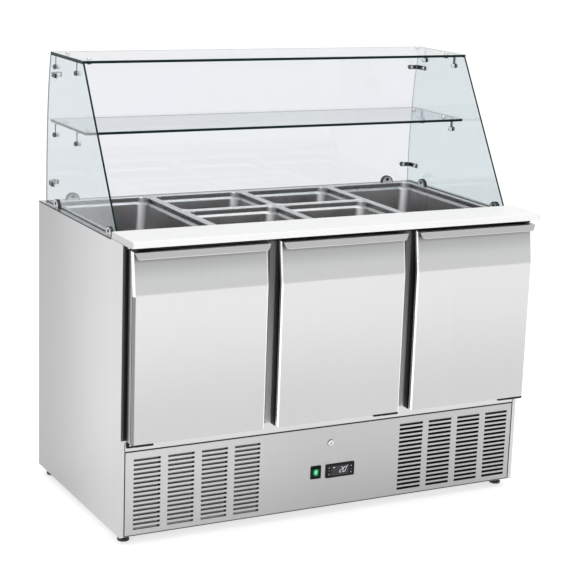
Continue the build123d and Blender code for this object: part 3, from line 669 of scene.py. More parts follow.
def nodes_take(mat, *names):
    """A carried-over CAD node keeps its shape and takes a worked material."""
    for nm in names:
        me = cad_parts[nm].data
        me.materials.clear()
        me.materials.append(MATS[mat])


# ------------------------------------------------------------------ cabinet shell (kept from the drawing)
nodes_take("side", "side_panel_left", "side_panel_right")
nodes_take("galv", "back_panel", "base_plate")
nodes_take("liner", "inner_liner", "shelf_clips")
nodes_take("foam", "cabinet_insulation")
nodes_take("sill", "sill_rail")
nodes_take("frame", "front_frame", "door_mullions")
nodes_take("top", "worktop", "pan_support_frame")
nodes_take("plinth", "service_panel")
for d in ("left", "middle", "right"):
    nodes_take("bush", d + "_door_bushes")

# levelling feet: a moulded pad on a threaded stud
p = Piece("levelling_feet", "cabinet", ("feet",), "foot")
for fx in (30.0, W - 30.0):
    for fy in (45.0, 655.0):
        p.add(lathe([(0, 0.0), (15.5, 0.0), (17.4, 0.8), (18.0, 2.4), (18.0, 5.4), (17.0, 7.4), (13.0, 8.8),
                     (11.2, 9.8), (11.0, 24.6), (0, 24.6)], "z", (fx, fy), 36), "foot")
        p.add(lathe([(0, 24.0), (7.5, 24.2), (7.5, 26.0), (0, 26.0)], "z", (fx, fy), 6), "stud", 0.3, 1)
        prof = [(0, 25.0)]
        for k in range(9):
            prof += [(4.0, 25.2 + 1.4 * k), (3.3, 25.9 + 1.4 * k)]
        prof += [(3.2, 37.9), (0, 38.0)]
        p.add(lathe(prof, "z", (fx, fy), 20), "stud")
p.done()

# cable gland on the back, empty
GX, GZ = 1240.0, 90.0
p = Piece("cable_gland_body", "cabinet", ("cable_gland",), "gland_plastic")
p.add(lathe([(5.2, 693.0), (10.0, 693.0), (10.0, 698.8), (15.0, 698.8), (15.0, 699.6), (14.0, 700.0), (11.0, 700.0),
             (11.0, 699.2), (5.2, 699.2)], "y", (GX, GZ), 36, ring=True), "gland")
p.add(lathe([(10.0, 688.0), (15.0, 688.0), (15.0, 697.4), (10.0, 697.4)], "y", (GX, GZ), 6, ring=True), "gland", 0.5, 1)
p.done()


# dark joint lines: round the service panel, and along the top of each side panel
p = Piece("service_panel_edge_seal", "plinth_panel")
p.add(frame_ring(round_poly([(12.2, 27.0), (W - 12.2, 27.0), (W - 12.2, 286.3), (12.2, 286.3)], 1.2, 3),
                 round_poly([(15.4, 29.2), (W - 15.4, 29.2), (W - 15.4, 281.9), (15.4, 281.9)], 1.2, 3), "y", -0.45, -0.02),
      "seal")
p.done()
p = Piece("sill_end_seams", "cabinet")
for flip in (False, True):
    g = prism(round_poly([(12.1, 287.2), (14.3, 287.2), (14.3, 314.0), (12.1, 314.0)], 0.5, 3), "y", -0.4, -0.02)
    p.add(mirror_x(g) if flip else g, "seal")
p.done()
p = Piece("side_panel_top_beads", "cabinet")
for flip in (False, True):
    g = prism(round_poly([(-0.6, 888.4), (0.6, 888.4), (0.6, 891.9), (-0.6, 891.9)], 0.25, 3), "y", 91.0, 697.0)
    p.add(mirror_x(g) if flip else g, "seal")
p.done()

# pressed louvre tongues behind the left-hand slots, falling back from each slot's top edge
p = Piece("intake_louvre_tongues", "plinth_panel")
for a, b in ((42.0, 125.0), (149.5, 232.0), (257.0, 339.5), (364.0, 446.5)):
    for k in range(16):
        zc = 256.6 - 13.9 * k
        path = [(1.25, zc + 4.6), (1.9, zc + 3.0), (3.2, zc + 0.4), (4.6, zc - 2.4), (5.4, zc - 4.2)]
        back = [(y + 0.7, z + 0.25) for y, z in path[::-1]]
        p.add(prism(path + back, "x", a + 0.5, b - 6.5), "louvre")
p.done()

# painted shade: a black mat close behind the right-hand slots, in a thin carrier, stands in for the dark compartment
# behind them
p = Piece("exhaust_slot_painted_shade_mat", "plinth_panel")
p.add(prism([(926.0, 36.0), (1338.0, 36.0), (1338.0, 263.0), (926.0, 263.0)], "y", 1.7, 5.2), "mat", 1.0, 2, 50)
p.add(frame_ring([(922.0, 32.0), (1342.0, 32.0), (1342.0, 267.0), (922.0, 267.0)],
                 [(932.0, 42.0), (1332.0, 42.0), (1332.0, 257.0), (932.0, 257.0)], "y", 1.4, 6.2), "black")
for k in range(1, 8):
    p.add(block(922.0 + 52.5 * k - 1.5, 922.0 + 52.5 * k + 1.5, 5.0, 6.4, 40.0, 259.0), "black", 0.3, 1)
p.done()

# ------------------------------------------------------------------ doors
Z0D, ZFOLD, ZTOP = 321.0, 756.0, 880.0


def door_front(z):
    """How far forward the door's face stands at a height: upright, a soft bend, then a slope back."""
    s = 16.0 / 110.0
    if z < ZFOLD - 3:
        return -54.0
    if z < ZFOLD + 3:
        return -54.0 + s * (z - ZFOLD + 3) ** 2 / 12.0
    if z < 866.0:
        return -54.0 + s * (z - ZFOLD)
    return -38.0 + (z - 866.0) / 7.0


for i, name in enumerate(("left", "middle", "right")):
    x0 = 12.5 + 460.0 * i
    x1 = x0 + 420.0
    body = name + "_door"
    on_left = i == 0
    px = x0 + 14.0 if on_left else x1 - 14.0
    p = Piece(name + "_door_panel", body, (name + "_door_skin",), "door_steel")
    # outer pan: pressed face, its upright edges bent back on a wide radius
    loops = []
    for z, inset in ((321.0, 1.6), (321.3, 0.7), (322.2, 0.1), (322.8, 0.0), (500.0, 0.0), (700.0, 0.0), (753.0, 0.0),
                     (754.5, 0.0), (756.0, 0.0), (757.5, 0.0), (759.0, 0.0), (800.0, 0.0), (840.0, 0.0), (864.0, 0.0),
                     (867.0, 0.0), (878.0, 0.0), (879.6, 0.5), (880.0, 1.4)):
        yf = door_front(z) + inset
        yb = max(-43.0, door_front(z) + 10.0)
        r = 7.0
        row = [(x0 + inset, yb, z)]
        for k in range(9):
            t = math.radians(180 + 90 * k / 8)
            row.append((x0 + inset + r + r * math.cos(t), yf + r + r * math.sin(t), z))
        for k in range(9):
            t = math.radians(270 + 90 * k / 8)
            row.append((x1 - inset - r + r * math.cos(t), yf + r + r * math.sin(t), z))
        row.append((x1 - inset, yb, z))
        loops.append(row)

    def edge_tone(f):
        # bends and upright sides take the painted highlight; the left door's outer bend below the fold takes the
        # painted shade
        n, c = f.normal, f.calc_center_median()
        if abs(n.z) > 0.7 or n.y > 0.5 or abs(n.x) < 0.22:
            return None
        return "door_bend_painted_shade" if on_left and n.x < 0 and c.z < 750 else "door_bend_painted_highlight"

    p.add(loft(loops), "door", pick=edge_tone)
    # dark joint between the two pans
    p.add(prism([(-43.5, Z0D + 2.5), (-43.5, 792.0), (-29.0, 868.0), (-27.5, ZTOP - 2.0), (-20.0, ZTOP - 2.0),
                 (-20.0, Z0D + 2.5)], "x", x0 + 3.0, x1 - 3.0), "groove")
    # inner pan behind it
    rear = [(-37.5, Z0D), (-10.0, Z0D), (-10.0, ZTOP), (-22.0, ZTOP), (-22.0, 868.0), (-37.5, 786.0)]

    def inner_tone(f):
        if f.normal.y > 0.5:
            return "liner"
        return "door_side" if not on_left and f.normal.x > 0.3 else None

    # the middle and right doors' rear pans take the painted deep shade, their right-hand faces the lighter copy
    p.add(prism(rear, "x", x0, x1), "door_side" if on_left else "door_side_painted_deep_shade", 1.2, 2, 40, pick=inner_tone)
    # raised liner on the inside, within the seal
    lin = [rrect((x0 + x1) / 2, 603.5, 172.0 - k, 252.5 - k, 16.0, 0, 6) for k in (0.0, 0.0, 1.2, 3.0)]
    ys = (-10.6, -8.6, -7.0, -6.4)
    p.add(loft([[(a, y, b) for a, b, _ in lp] for lp, y in zip(lin, ys)]), "liner")
    # folded lip: a shelf forward, then a flap with slanted, rounded ends
    out = [(-35.2, 880.0), (-44.0, 879.2), (-54.6, 878.3)]
    for k in range(1, 6):
        t = math.radians(90 - 15 * k)
        out.append((-54.9 - 2.6 * math.cos(t), 875.7 + 2.6 * math.sin(t)))
    fx0, fz0, fx1, fz1 = out[-1][0], out[-1][1], -61.5, 859.0
    for k in range(1, 15):
        s = k / 14
        out.append((fx0 + (fx1 - fx0) * s, fz0 + (fz1 - fz0) * s))
    loops = []
    for k, (y, z) in enumerate(out):
        a = Vector(out[max(k - 1, 0)])
        b = Vector(out[min(k + 1, len(out) - 1)])
        t = (b - a).normalized()
        ny, nz = -t.y, t.x       # towards the inside of the fold
        yi, zi = y - ny * -1.1, z - nz * -1.1
        if k >= 8:
            s = (k - 8) / (len(out) - 9)
            cut = 1.5 + 7.5 * s
            if s > 0.68:
                u = (s - 0.68) / 0.32
                cut += 5.5 * (1 - math.sqrt(max(0.0, 1 - u * u)))
        else:
            cut = 0.4 + 1.1 * max(0, k - 2) / 6
        loops.append([(x0 + cut, y, z), (x1 - cut, y, z), (x1 - cut, yi, zi), (x0 + cut, yi, zi)])
    p.add(loft(loops), "lip")
    p.add(tube([(x0 + 14.0, -60.7, 860.1), (x1 - 14.0, -60.7, 860.1)], 1.5, 12), "lip")
    p.done()

    # rigid foam inside the panel, clear of both pans' bends
    p = Piece(name + "_door_foam_fill", body, (name + "_door_core",))
    p.add(prism([(-46.0, Z0D + 5.0), (-46.0, 752.0), (-33.0, 846.0), (-31.0, ZTOP - 5.0), (-12.5, ZTOP - 5.0),
                 (-12.5, Z0D + 5.0)], "x", x0 + 8.0, x1 - 8.0), "foam", 2.0, 2, 30)
    p.done()

    # seal: a soft bellows profile run round the back of the door
    gx0, gx1, gz0, gz1 = x0 + 16, x1 - 16, 333.0, 874.0
    prof = [(0.0, -10.3), (12.0, -10.3), (12.0, -8.6), (10.8, -7.6), (11.8, -6.6), (11.8, -2.6), (10.6, -1.9),
            (1.4, -1.9), (0.2, -2.6), (0.2, -6.6), (1.2, -7.6), (0.0, -8.6)]
    loops = []
    for inset, y in prof:
        loops.append([(gx0 + inset, y, gz0 + inset), (gx1 - inset, y, gz0 + inset), (gx1 - inset, y, gz1 - inset),
                      (gx0 + inset, y, gz1 - inset)])
    p = Piece(name + "_door_seal", body, (name + "_door_gasket",), "gasket_rubber")
    p.add(loft(loops, ring=True), "gasket")
    p.done()

    # fixed brackets: a plate with its pin under the door and one over it
    hx0, hx1 = (px - 9.5, px + 46.0) if on_left else (px - 46.0, px + 9.5)
    lx0, lx1 = (px - 5.0, px + 55.0) if on_left else (px - 40.0, px + 15.0)
    p = Piece(name + "_door_hinge_brackets", "cabinet", (name + "_door_hinges",), "hinge_black")
    r1, r2 = (8.0, 3.0) if on_left else (3.0, 8.0)
    p.add(prism(round_poly([(lx0, -50), (lx1, -50), (lx1, 0), (lx0, 0)], [r1, r2, 0, 0], 5), "z", 313.2, 318.2),
          "hinge", 0.5, 2)
    p.add(prism(round_poly([(hx0, 296), (hx1, 296), (hx1, 316), (hx0, 316)], [4, 4, 0, 0], 4), "y", -2.5, -0.05),
          "hinge", 0.4, 2)
    p.add(lathe([(0, 317.5), (4.0, 317.5), (4.0, 330.2), (3.2, 331.0), (0, 331.0)], "z", (px, -26.0), 28), "stud")
    p.add(prism(round_poly([(hx0, -40), (hx1, -40), (hx1, -1.5), (hx0, -1.5)], [r1, r2, 0, 0], 5), "z", 882.5, 885.5),
          "hinge", 0.5, 2)
    p.add(block(hx0, hx1, -4.0, -1.55, 876.0, 883.0), "hinge", 0.4, 2)
    p.add(lathe([(0, 883.5), (4.0, 883.5), (4.0, 868.8), (3.2, 868.0), (0, 868.0)], "z", (px, -26.0), 28), "stud")
    for sx in (hx0 + 12.0, hx1 - 12.0):
        p.add(lathe([(0, -2.4), (3.6, -2.4), (3.6, -3.4), (2.6, -4.3), (1.2, -4.3), (1.0, -3.6), (0, -3.6)], "y",
                    (sx, 305.5), 24), "stud")
    # plated tail of the lower bracket
    tx0, tx1 = lx0 - 22.0, lx0 + 0.5
    if not on_left:
        for k in range(5):
            p.add(block(tx0 + 4.4 * k, tx0 + 4.4 * k + 2.6, -48.5, -40.0, 315.4, 317.6), "hinge", 0.3, 1)
        p.add(block(tx0, tx1, -40.5, -1.0, 315.4, 317.4), "zinc", 0.3, 1)
    p.done()

# ------------------------------------------------------------------ pans
def pan_piece(name, x0, x1, y0, y1):
    cx, cy, hx, hy = (x0 + x1) / 2, (y0 + y1) / 2, (x1 - x0) / 2, (y1 - y0) / 2
    k = 9
    inner = []      # (inset, corner radius, z)
    inner += [(0.55, 14.0, 892.05), (0.5, 14.0, 892.45), (0.8, 13.8, 892.8), (1.6, 13.5, 893.0)]
    inner += [(8.5, 20.0, 893.0), (10.6, 24.0, 892.9), (12.0, 28.0, 892.3), (13.0, 30.0, 891.0), (13.6, 31.4, 889.0),
              (13.8, 32.0, 886.6)]
    inner += [(14.3, 32.0, 879.6), (14.6, 32.0, 878.2), (15.3, 32.0, 877.2), (16.6, 32.0, 876.2), (19.8, 31.8, 873.6),
              (21.0, 31.6, 872.4), (21.7, 31.4, 871.2), (22.0, 31.4, 869.6)]
    inner += [(22.6, 31.2, 860.0), (30.4, 31.0, 764.0), (31.4, 30.8, 757.0), (33.6, 30.4, 750.6), (37.0, 29.6, 746.0),
              (41.4, 28.8, 743.6), (46.0, 28.0, 743.1), (70.0, 20.0, 743.0)]
    outer = [(69.0, 20.0, 742.0), (45.6, 28.5, 742.05), (40.6, 29.4, 742.5), (35.9, 30.4, 745.2), (32.4, 31.4, 750.0),
             (30.3, 31.8, 756.6), (29.3, 32.0, 764.0), (21.5, 32.2, 860.0), (20.9, 32.2, 869.6), (18.6, 32.6, 873.0),
             (15.6, 33.0, 875.4), (13.9, 33.4, 876.8), (13.2, 33.6, 880.0), (12.9, 33.6, 887.0), (12.7, 33.2, 890.6),
             (12.4, 32.6, 892.02)]
    loops = [rrect(cx, cy, hx - a, hy - a, r, z, k) for a, r, z in reversed(inner)]
    loops += [rrect(cx, cy, hx - a, hy - a, r, z, k) for a, r, z in reversed(outer)]
    p = Piece(name + "_tub", name + "_body", (name,), "pan_steel", 50)
    near = name.startswith("pan_half_rear")

    def zone(f):
        # lit and shaded copies of the pan steel by height: painted highlight, painted light and painted shade
        c = f.calc_center_median()
        if c.z > 890.8:
            return "rim_painted_highlight" if near and c.y < y0 + 11.0 else "rim"
        if c.z > 877.6:
            return "neck"
        if c.z > 870.6 and f.normal.z > 0.25:
            return "ledge"
        return None

    p.add(loft(loops), "pan", pick=zone)
    p.done()


COLS = [32.5 + 325.0 * i for i in range(5)]
YM = 673.0 - 265.0
pan_piece("pan_full_left", COLS[0], COLS[1], 143.0, 673.0)
pan_piece("pan_half_rear_left", COLS[1], COLS[2], YM, 673.0)
pan_piece("pan_half_front_left", COLS[1], COLS[2], 143.0, YM)
pan_piece("pan_half_rear_right", COLS[2], COLS[3], YM, 673.0)
pan_piece("pan_half_front_right", COLS[2], COLS[3], 143.0, YM)
pan_piece("pan_full_right", COLS[3], COLS[4], 143.0, 673.0)

# ------------------------------------------------------------------ cutting board
# the board's ends and top face take the painted shade copies
p = Piece("cutting_board_slab", "board", ("cutting_board",), "board", 40)
p.add(prism(round_poly([(0, -64), (W, -64), (W, 90), (0, 90)], 7.0, 6), "z", 892.0, 912.0), "board", 2.6, 4, 60,
      pick=lambda f: "board_end_painted_shade" if abs(f.normal.x) > 0.3 else "board_top_painted_shade" if f.normal.z > 0.9 else None)
p.done()

# ------------------------------------------------------------------ glass
Z_SG = 1352.0
REAR = [(655.0, 1352.0), (668.0, 1290.0), (678.0, 1215.0), (685.5, 1120.0), (689.5, 1030.0), (690.5, 950.0)]


def rear_curve(n=30):
    """The rear bend of the side glass, from the top down, as a smooth line through the drawing's points."""
    pts = [Vector(q) for q in REAR]
    m = [None] * len(pts)
    m[0] = Vector((13.0, -62.0))
    m[-1] = Vector((0.0, -80.0))
    for i in range(1, len(pts) - 1):
        m[i] = (pts[i + 1] - pts[i - 1]) / 2
    out = []
    for i in range(len(pts) - 1):
        for k in range(n // 5):
            t = k / (n // 5)
            a, b = pts[i], pts[i + 1]
            out.append(a * (2 * t ** 3 - 3 * t ** 2 + 1) + m[i] * (t ** 3 - 2 * t ** 2 + t)
                       + b * (-2 * t ** 3 + 3 * t ** 2) + m[i + 1] * (t ** 3 - t ** 2))
    out.append(pts[-1])
    return [(q.x, q.y) for q in out]


CURVE = rear_curve()


def rear_y(z):
    for (ya, za), (yb, zb) in zip(CURVE, CURVE[1:]):
        if zb <= z <= za:
            return ya + (yb - ya) * (za - z) / (za - zb)
    return 690.5


outline = [(94.0, 892.0), (374.0, Z_SG)] + CURVE + [(690.5, 892.0)]
for side, nm in ((0, "left"), (1, "right")):
    g = prism(outline, "x", 20.0, 26.0)
    if side:
        g = mirror_x(g)
    p = Piece("side_glass_%s_pane" % nm, "cabinet", ("side_glass_" + nm,), "glass")
    p.add(g, "edge", 1.5, 1, 50, pick=lambda f: ("glass", "glass_right_painted_shade")[side] if abs(f.normal.x) > 0.9 else
          "edge_painted_light" if f.normal.z < -0.9 else None)
    p.done()

inside = [(y - 6.0, z) for y, z in CURVE]
sheet = CURVE + [(690.5, 892.0), (684.5, 892.0)] + inside[::-1]
p = Piece("rear_glass_pane", "cabinet", ("rear_glass",), "glass", 40)
p.add(prism(sheet, "x", 26.5, W - 26.5), "edge_painted_light",
      pick=lambda f: "glass_rear" if abs(f.normal.x) < 0.5 and abs(f.normal.y) > 0.5 else None)
p.done()
p = Piece("top_glass_pane", "cabinet", ("top_glass_shelf",), "glass")
p.add(prism(round_poly([(20, 374), (W - 20, 374), (W - 20, 655), (20, 655)], 3.0, 3), "z", 1352.0, 1360.0), "edge", 1.2,
      1, 60, pick=lambda f: "glass_shelf" if abs(f.normal.z) > 0.9 else None)
p.done()
p = Piece("middle_glass_pane", "cabinet", ("middle_glass_shelf",), "glass")
p.add(prism(round_poly([(28, 359), (W - 28, 359), (W - 28, 665), (28, 665)], 3.0, 3), "z", 1144.0, 1152.0), "edge",
      1.2, 1, 60, pick=lambda f: "glass_shelf" if abs(f.normal.z) > 0.9 else None)
p.done()


# ------------------------------------------------------------------ glass fittings
def button(axis, centre, at, out, r, th, n=32):
    """A turned button with a soft rim and a shallow dish, its flat back at `at`, facing along out."""
    prof = [(0, 0.0), (r, 0.0), (r, 0.45 * th), (r * 0.93, 0.8 * th), (r * 0.8, th), (r * 0.52, th * 0.98),
            (r * 0.46, th * 0.78), (0, th * 0.74)]
    return lathe([(a, at + out * b) for a, b in prof], axis, centre, n)


# shelf brackets: the pale satin copy on the left-hand ones and the dark copy on the right stand for painted light and
# shade; the dark buttons are painted dark reflections
p = Piece("glass_shelf_supports", "cabinet", ("shelf_supports",), "chrome", 35)
for zs, ys in ((1352.0, (430.0, 610.0)), (1144.0, (425.0, 612.0))):
    for y in ys:
        for flip in (False, True):
            zk = zs - 34.0
            bits = [(button("x", (y, zk), 20.0, -1, 7.5, 6.0), "dark_chrome", 0, 1),
                    (lathe([(0, 19.5), (4.0, 19.5), (4.0, 26.5), (0, 26.5)], "x", (y, zk), 20), "dark_chrome", 0, 1),
                    (button("x", (y, zk), 29.0, 1, 7.5, 9.0), "chrome", 0, 1),
                    (prism(round_poly([(y - 5, zs), (y - 5, zk), (y - 3, zk - 5), (y + 3, zk - 5), (y + 5, zk), (y + 5, zs)],
                                      [0, 2, 2, 2, 2, 0], 4), "x", 26.0, 29.0), "strap" if flip else "satin", 0.5, 2),
                    (prism(round_poly([(26, y - 6), (70, y - 6), (70, y + 6), (26, y + 6)], [0, 5, 5, 0], 5), "z", zs - 3, zs - 0.05),
                     "chrome", 0.5, 2),
                    (button("z", (60.0, y), zs - 3, -1, 7.0, 5.0), "dark_chrome", 0, 1),
                    (lathe([(0, zs - 2), (4.0, zs - 2), (4.0, zs + 8.5), (0, zs + 8.5)], "z", (60.0, y), 20), "chrome", 0, 1),
                    (button("z", (60.0, y), zs + 8.0, 1, 7.5, 3.0), "lock", 0, 1)]
            for g, mt, bv, sg in bits:
                p.add(mirror_x(g) if flip else g, mt, bv, sg)
p.done()

# corner straps and their buttons: dark copies of the plating as painted dark reflections
p = Piece("glass_corner_straps", "cabinet", ("corner_straps",), "chrome", 35)
for z in (1290.0, 952.0):
    yo = rear_y(z)
    yl = yo - 11.0
    for flip in (False, True):
        path = round_path([(27.5, yl - 55, 0), (27.5, yl - 1.5, 0), (62, yl - 1.5, 0)], 9.0, 8)
        a_in, a_out = [], []
        for k, q in enumerate(path):
            t = (path[min(k + 1, len(path) - 1)] - path[max(k - 1, 0)]).normalized()
            nx, ny = -t.y, t.x
            a_out.append((q.x + nx * 1.5, q.y + ny * 1.5))
            a_in.append((q.x - nx * 1.5, q.y - ny * 1.5))
        bits = [(prism(a_out + a_in[::-1], "z", z - 7, z + 7), "strap", 0.6, 2, 50),
                (button("x", (yl - 42, z), 20.0, -1, 7.0, 3.0), "dark_chrome", 0, 1, 35),
                (button("x", (yl - 42, z), 29.0, 1, 5.5, 3.0), "chrome", 0, 1, 35),
                (lathe([(0, 19.0), (4, 19.0), (4, 29.5), (0, 29.5)], "x", (yl - 42, z), 20), "dark_chrome", 0, 1, 35),
                (lathe([(0, yl - 3.2), (4, yl - 3.2), (4, yo + 3.5), (0, yo + 3.5)], "y", (51.0, z), 20), "dark_chrome", 0, 1, 35),
                (button("y", (51.0, z), yl - 3.0, -1, 5.5, 3.0), "chrome", 0, 1, 35),
                (button("y", (51.0, z), yo + 1.5, 1, 7.0, 3.0), "dark_chrome", 0, 1, 35)]
        for g, mt, bv, sg, an in bits:
            p.add(mirror_x(g) if flip else g, mt, bv, sg, an)
p.done()


def half_disc(axis, c, c0, c1, r=22.0):
    """A half-round clamp plate standing on the worktop, with a turned rim."""
    arc = [(c + r * math.cos(math.radians(t)), 892.0 + r * math.sin(math.radians(t))) for t in range(0, 181, 6)]
    return prism(arc, axis, c0, c1)


# base clamps: dark discs as painted dark reflections, with thin pale satin rims as painted light
p = Piece("glass_base_clamps", "cabinet", ("base_clamps",), "chrome", 35)
for y in (150.0, 590.0):
    for flip in (False, True):
        bits = [(half_disc("x", y, 15.2, 20.0), "dark_chrome", 1.0, 3, 50), (half_disc("x", y, 26.0, 30.8), "dark_chrome", 1.0, 3, 50),
                (half_disc("x", y, 15.0, 16.0, 18.5), "satin", 0.4, 2, 50), (half_disc("x", y, 30.0, 31.0, 18.5), "satin", 0.4, 2, 50),
                (lathe([(0, 20.0), (4, 20.0), (4, 26.0), (0, 26.0)], "x", (y, 902.0), 20), "dark_chrome", 0, 1, 35),
                (button("x", (y, 902.0), 15.2, -1, 6.0, 2.2), "dark_chrome", 0, 1, 35),
                (button("x", (y, 902.0), 30.8, 1, 6.0, 1.7), "dark_chrome", 0, 1, 35)]
        for g, mt, bv, sg, an in bits:
            p.add(mirror_x(g) if flip else g, mt, bv, sg, an)
for flip in (False, True):
    bits = [(half_disc("y", 110.0, 690.5, 694.3), "dark_chrome", 1.0, 3, 50), (half_disc("y", 110.0, 679.7, 684.5), "dark_chrome", 1.0, 3, 50),
            (half_disc("y", 110.0, 693.5, 694.5, 18.5), "satin", 0.4, 2, 50), (half_disc("y", 110.0, 679.5, 680.5, 18.5), "satin", 0.4, 2, 50),
            (lathe([(0, 684.0), (4, 684.0), (4, 691.0), (0, 691.0)], "y", (110.0, 902.0), 20), "dark_chrome", 0, 1, 35),
            (button("y", (110.0, 902.0), 679.7, -1, 6.0, 2.0), "dark_chrome", 0, 1, 35)]
    for g, mt, bv, sg, an in bits:
        p.add(mirror_x(g) if flip else g, mt, bv, sg, an)
p.done()

# ------------------------------------------------------------------ lock, switch, thermostat
LX, LZ = 688.0, 229.5
p = Piece("lock_barrel_ring", "plinth_panel", ("lock_barrel",), "lock_chrome", 35)
p.add(lathe([(6.05, 16.0), (8.0, 16.0), (8.0, 0.0), (10.5, 0.0), (10.5, -1.2), (9.9, -2.2), (9.0, -2.5), (7.6, -2.5),
             (7.0, -2.2), (6.7, -1.6), (6.05, -1.6)], "y", (LX, LZ), 48, ring=True), "lock")
p.add(lathe([(10.45, -0.1), (11.3, -0.1), (11.3, -0.5), (10.45, -0.5)], "y", (LX, LZ), 48, ring=True), "groove")
p.done()
p = Piece("lock_plug_and_cam", "lock_turn", ("lock_cam",), "lock_chrome", 35)
p.add(lathe([(0, 20.5), (5.9, 20.5), (5.9, -1.4), (5.4, -1.9), (0, -1.9)], "y", (LX, LZ), 40), "lock")
p.add(prism(round_poly([(LX - 7, LZ - 7), (LX + 59, LZ - 7), (LX + 59, LZ + 7), (LX - 7, LZ + 7)], 6.0, 5), "y", 20.0, 23.0),
      "stud", 0.4, 2)
p.add(prism(round_poly([(LX - 0.9, LZ - 3.8), (LX + 0.9, LZ - 3.8), (LX + 0.9, LZ + 3.8), (LX - 0.9, LZ + 3.8)], 0.6, 3), "y",
            -2.02, -1.2), "black")
p.add(lathe([(0, -2.04), (1.9, -2.04), (1.9, -1.2), (0, -1.2)], "y", (LX, LZ), 24), "black")
p.add(lathe([(0, 23.0), (5.2, 23.0), (5.2, 24.6), (4.6, 25.4), (0, 25.4)], "y", (LX, LZ), 6), "stud", 0.2, 1)
p.done()

p = Piece("switch_bezel", "plinth_panel", ("switch_housing",), "control_black", 35)
SWX, SWZ, THX, THZ = 639.0, 141.5, 723.0, 139.5


def pad(cx, cz, hx, hz, r):
    return round_poly([(cx - hx, cz - hz), (cx + hx, cz - hz), (cx + hx, cz + hz), (cx - hx, cz + hz)], r, 5)


outer, mid = pad(SWX, SWZ, 18.0, 21.0, 4.0), pad(SWX, SWZ, 16.4, 19.4, 3.4)
mouth, well = pad(SWX, SWZ, 13.4, 17.0, 2.4), pad(SWX, SWZ, 12.2, 15.6, 1.6)
shank = pad(SWX, SWZ, 14.8, 17.8, 1.2)


def at_y(poly, y):
    return [(a, y, b) for a, b in poly]


p.add(loft([at_y(shank, 24.0), at_y(shank, 0.0), at_y(outer, 0.0), at_y(outer, -1.6), at_y(mid, -3.0), at_y(mouth, -3.0),
            at_y(well, -1.6), at_y(well, 22.0)]), "control")
p.done()
p = Piece("switch_rocker_cap", "rocker", ("switch_rocker",), "switch_green", 40)
loops = []
for x in (627.4, 628.2, 632.0, 639.0, 646.0, 649.8, 650.6):
    edge = 0.9 if x in (627.4, 650.6) else 0.0
    row = [(x, 9.0, SWZ - 12.4)]
    for k in range(13):
        t = -1 + 2 * k / 12
        sag = 2.0 * (1 - t * t)           # dished across its height
        row.append((x, -5.0 + sag + edge + (0.8 if abs(t) > 0.99 else 0.0), SWZ + 12.5 * t))
    row.append((x, 9.0, SWZ + 12.4))
    loops.append(row)
p.add(loft(loops), "rocker", pick=lambda f: "control" if f.calc_center_median().y > 1.0 else None)
p.add(lathe([(0, 625.2), (2.0, 625.2), (2.0, 652.8), (0, 652.8)], "x", (4.0, SWZ), 20), "control")
p.done()

p = Piece("thermostat_head", "plinth_panel", ("thermostat",), "control_black", 35)
outer, mid = pad(THX, THZ, 50.0, 22.0, 4.2), pad(THX, THZ, 48.4, 20.4, 3.6)
lip_in, glass_in = pad(THX, THZ, 45.0, 17.6, 2.2), pad(THX, THZ, 44.4, 17.0, 1.8)
shank = pad(THX, THZ, 45.0, 18.0, 1.0)
p.add(loft([at_y(shank, 60.0), at_y(shank, 0.0), at_y(outer, 0.0), at_y(outer, -2.4), at_y(mid, -4.0), at_y(lip_in, -4.0),
            at_y(glass_in, -3.2)], (True, False)), "control")
p.add(prism(glass_in, "y", -3.4, -2.0), "control")
p.add(prism(pad(722.0, 139.2, 31.0, 15.4, 1.5), "y", -3.6, -2.6), "window",
      0.2, 1, 60)


def bar(x0, z0, x1, z1, w, y=-3.85):
    """A lit bar of a digit, pointed at both ends."""
    a, b = Vector((x0, z0)), Vector((x1, z1))
    t = (b - a).normalized()
    n = Vector((-t.y, t.x)) * w / 2
    pts = [a, a + t * w / 2 + n, b - t * w / 2 + n, b, b - t * w / 2 - n, a + t * w / 2 - n]
    return prism([tuple(q) for q in pts], "y", y, y + 0.5)


def digit(x, z, w, h, on, lean=0.34, th=1.35):
    """Seven bars, leaning: top, upper right, lower right, foot, lower left, upper left, middle."""
    g = 0.35

    def s(px_, pz_):
        return (x + px_ + lean * pz_, z + pz_)

    seg = {"a": (s(g, h), s(w - g, h)), "b": (s(w, h - g), s(w, h / 2 + g)), "c": (s(w, h / 2 - g), s(w, g)),
           "d": (s(g, 0), s(w - g, 0)), "e": (s(0, h / 2 - g), s(0, g)), "f": (s(0, h - g), s(0, h / 2 + g)),
           "g": (s(g, h / 2), s(w - g, h / 2))}
    for k in on:
        (ax, az), (bx_, bz) = seg[k]
        p.add(bar(ax, az, bx_, bz, th), "digit")


digit(719.6, 132.6, 7.8, 15.4, "abged", 0.34, 1.2)
digit(731.6, 132.6, 7.8, 15.4, "abcdef", 0.34, 1.2)
p.add(bar(746.8, 148.6, 749.4, 152.6, 1.0), "digit")
p.add(bar(697.6, 150.2, 704.0, 150.2, 1.6), "digit")
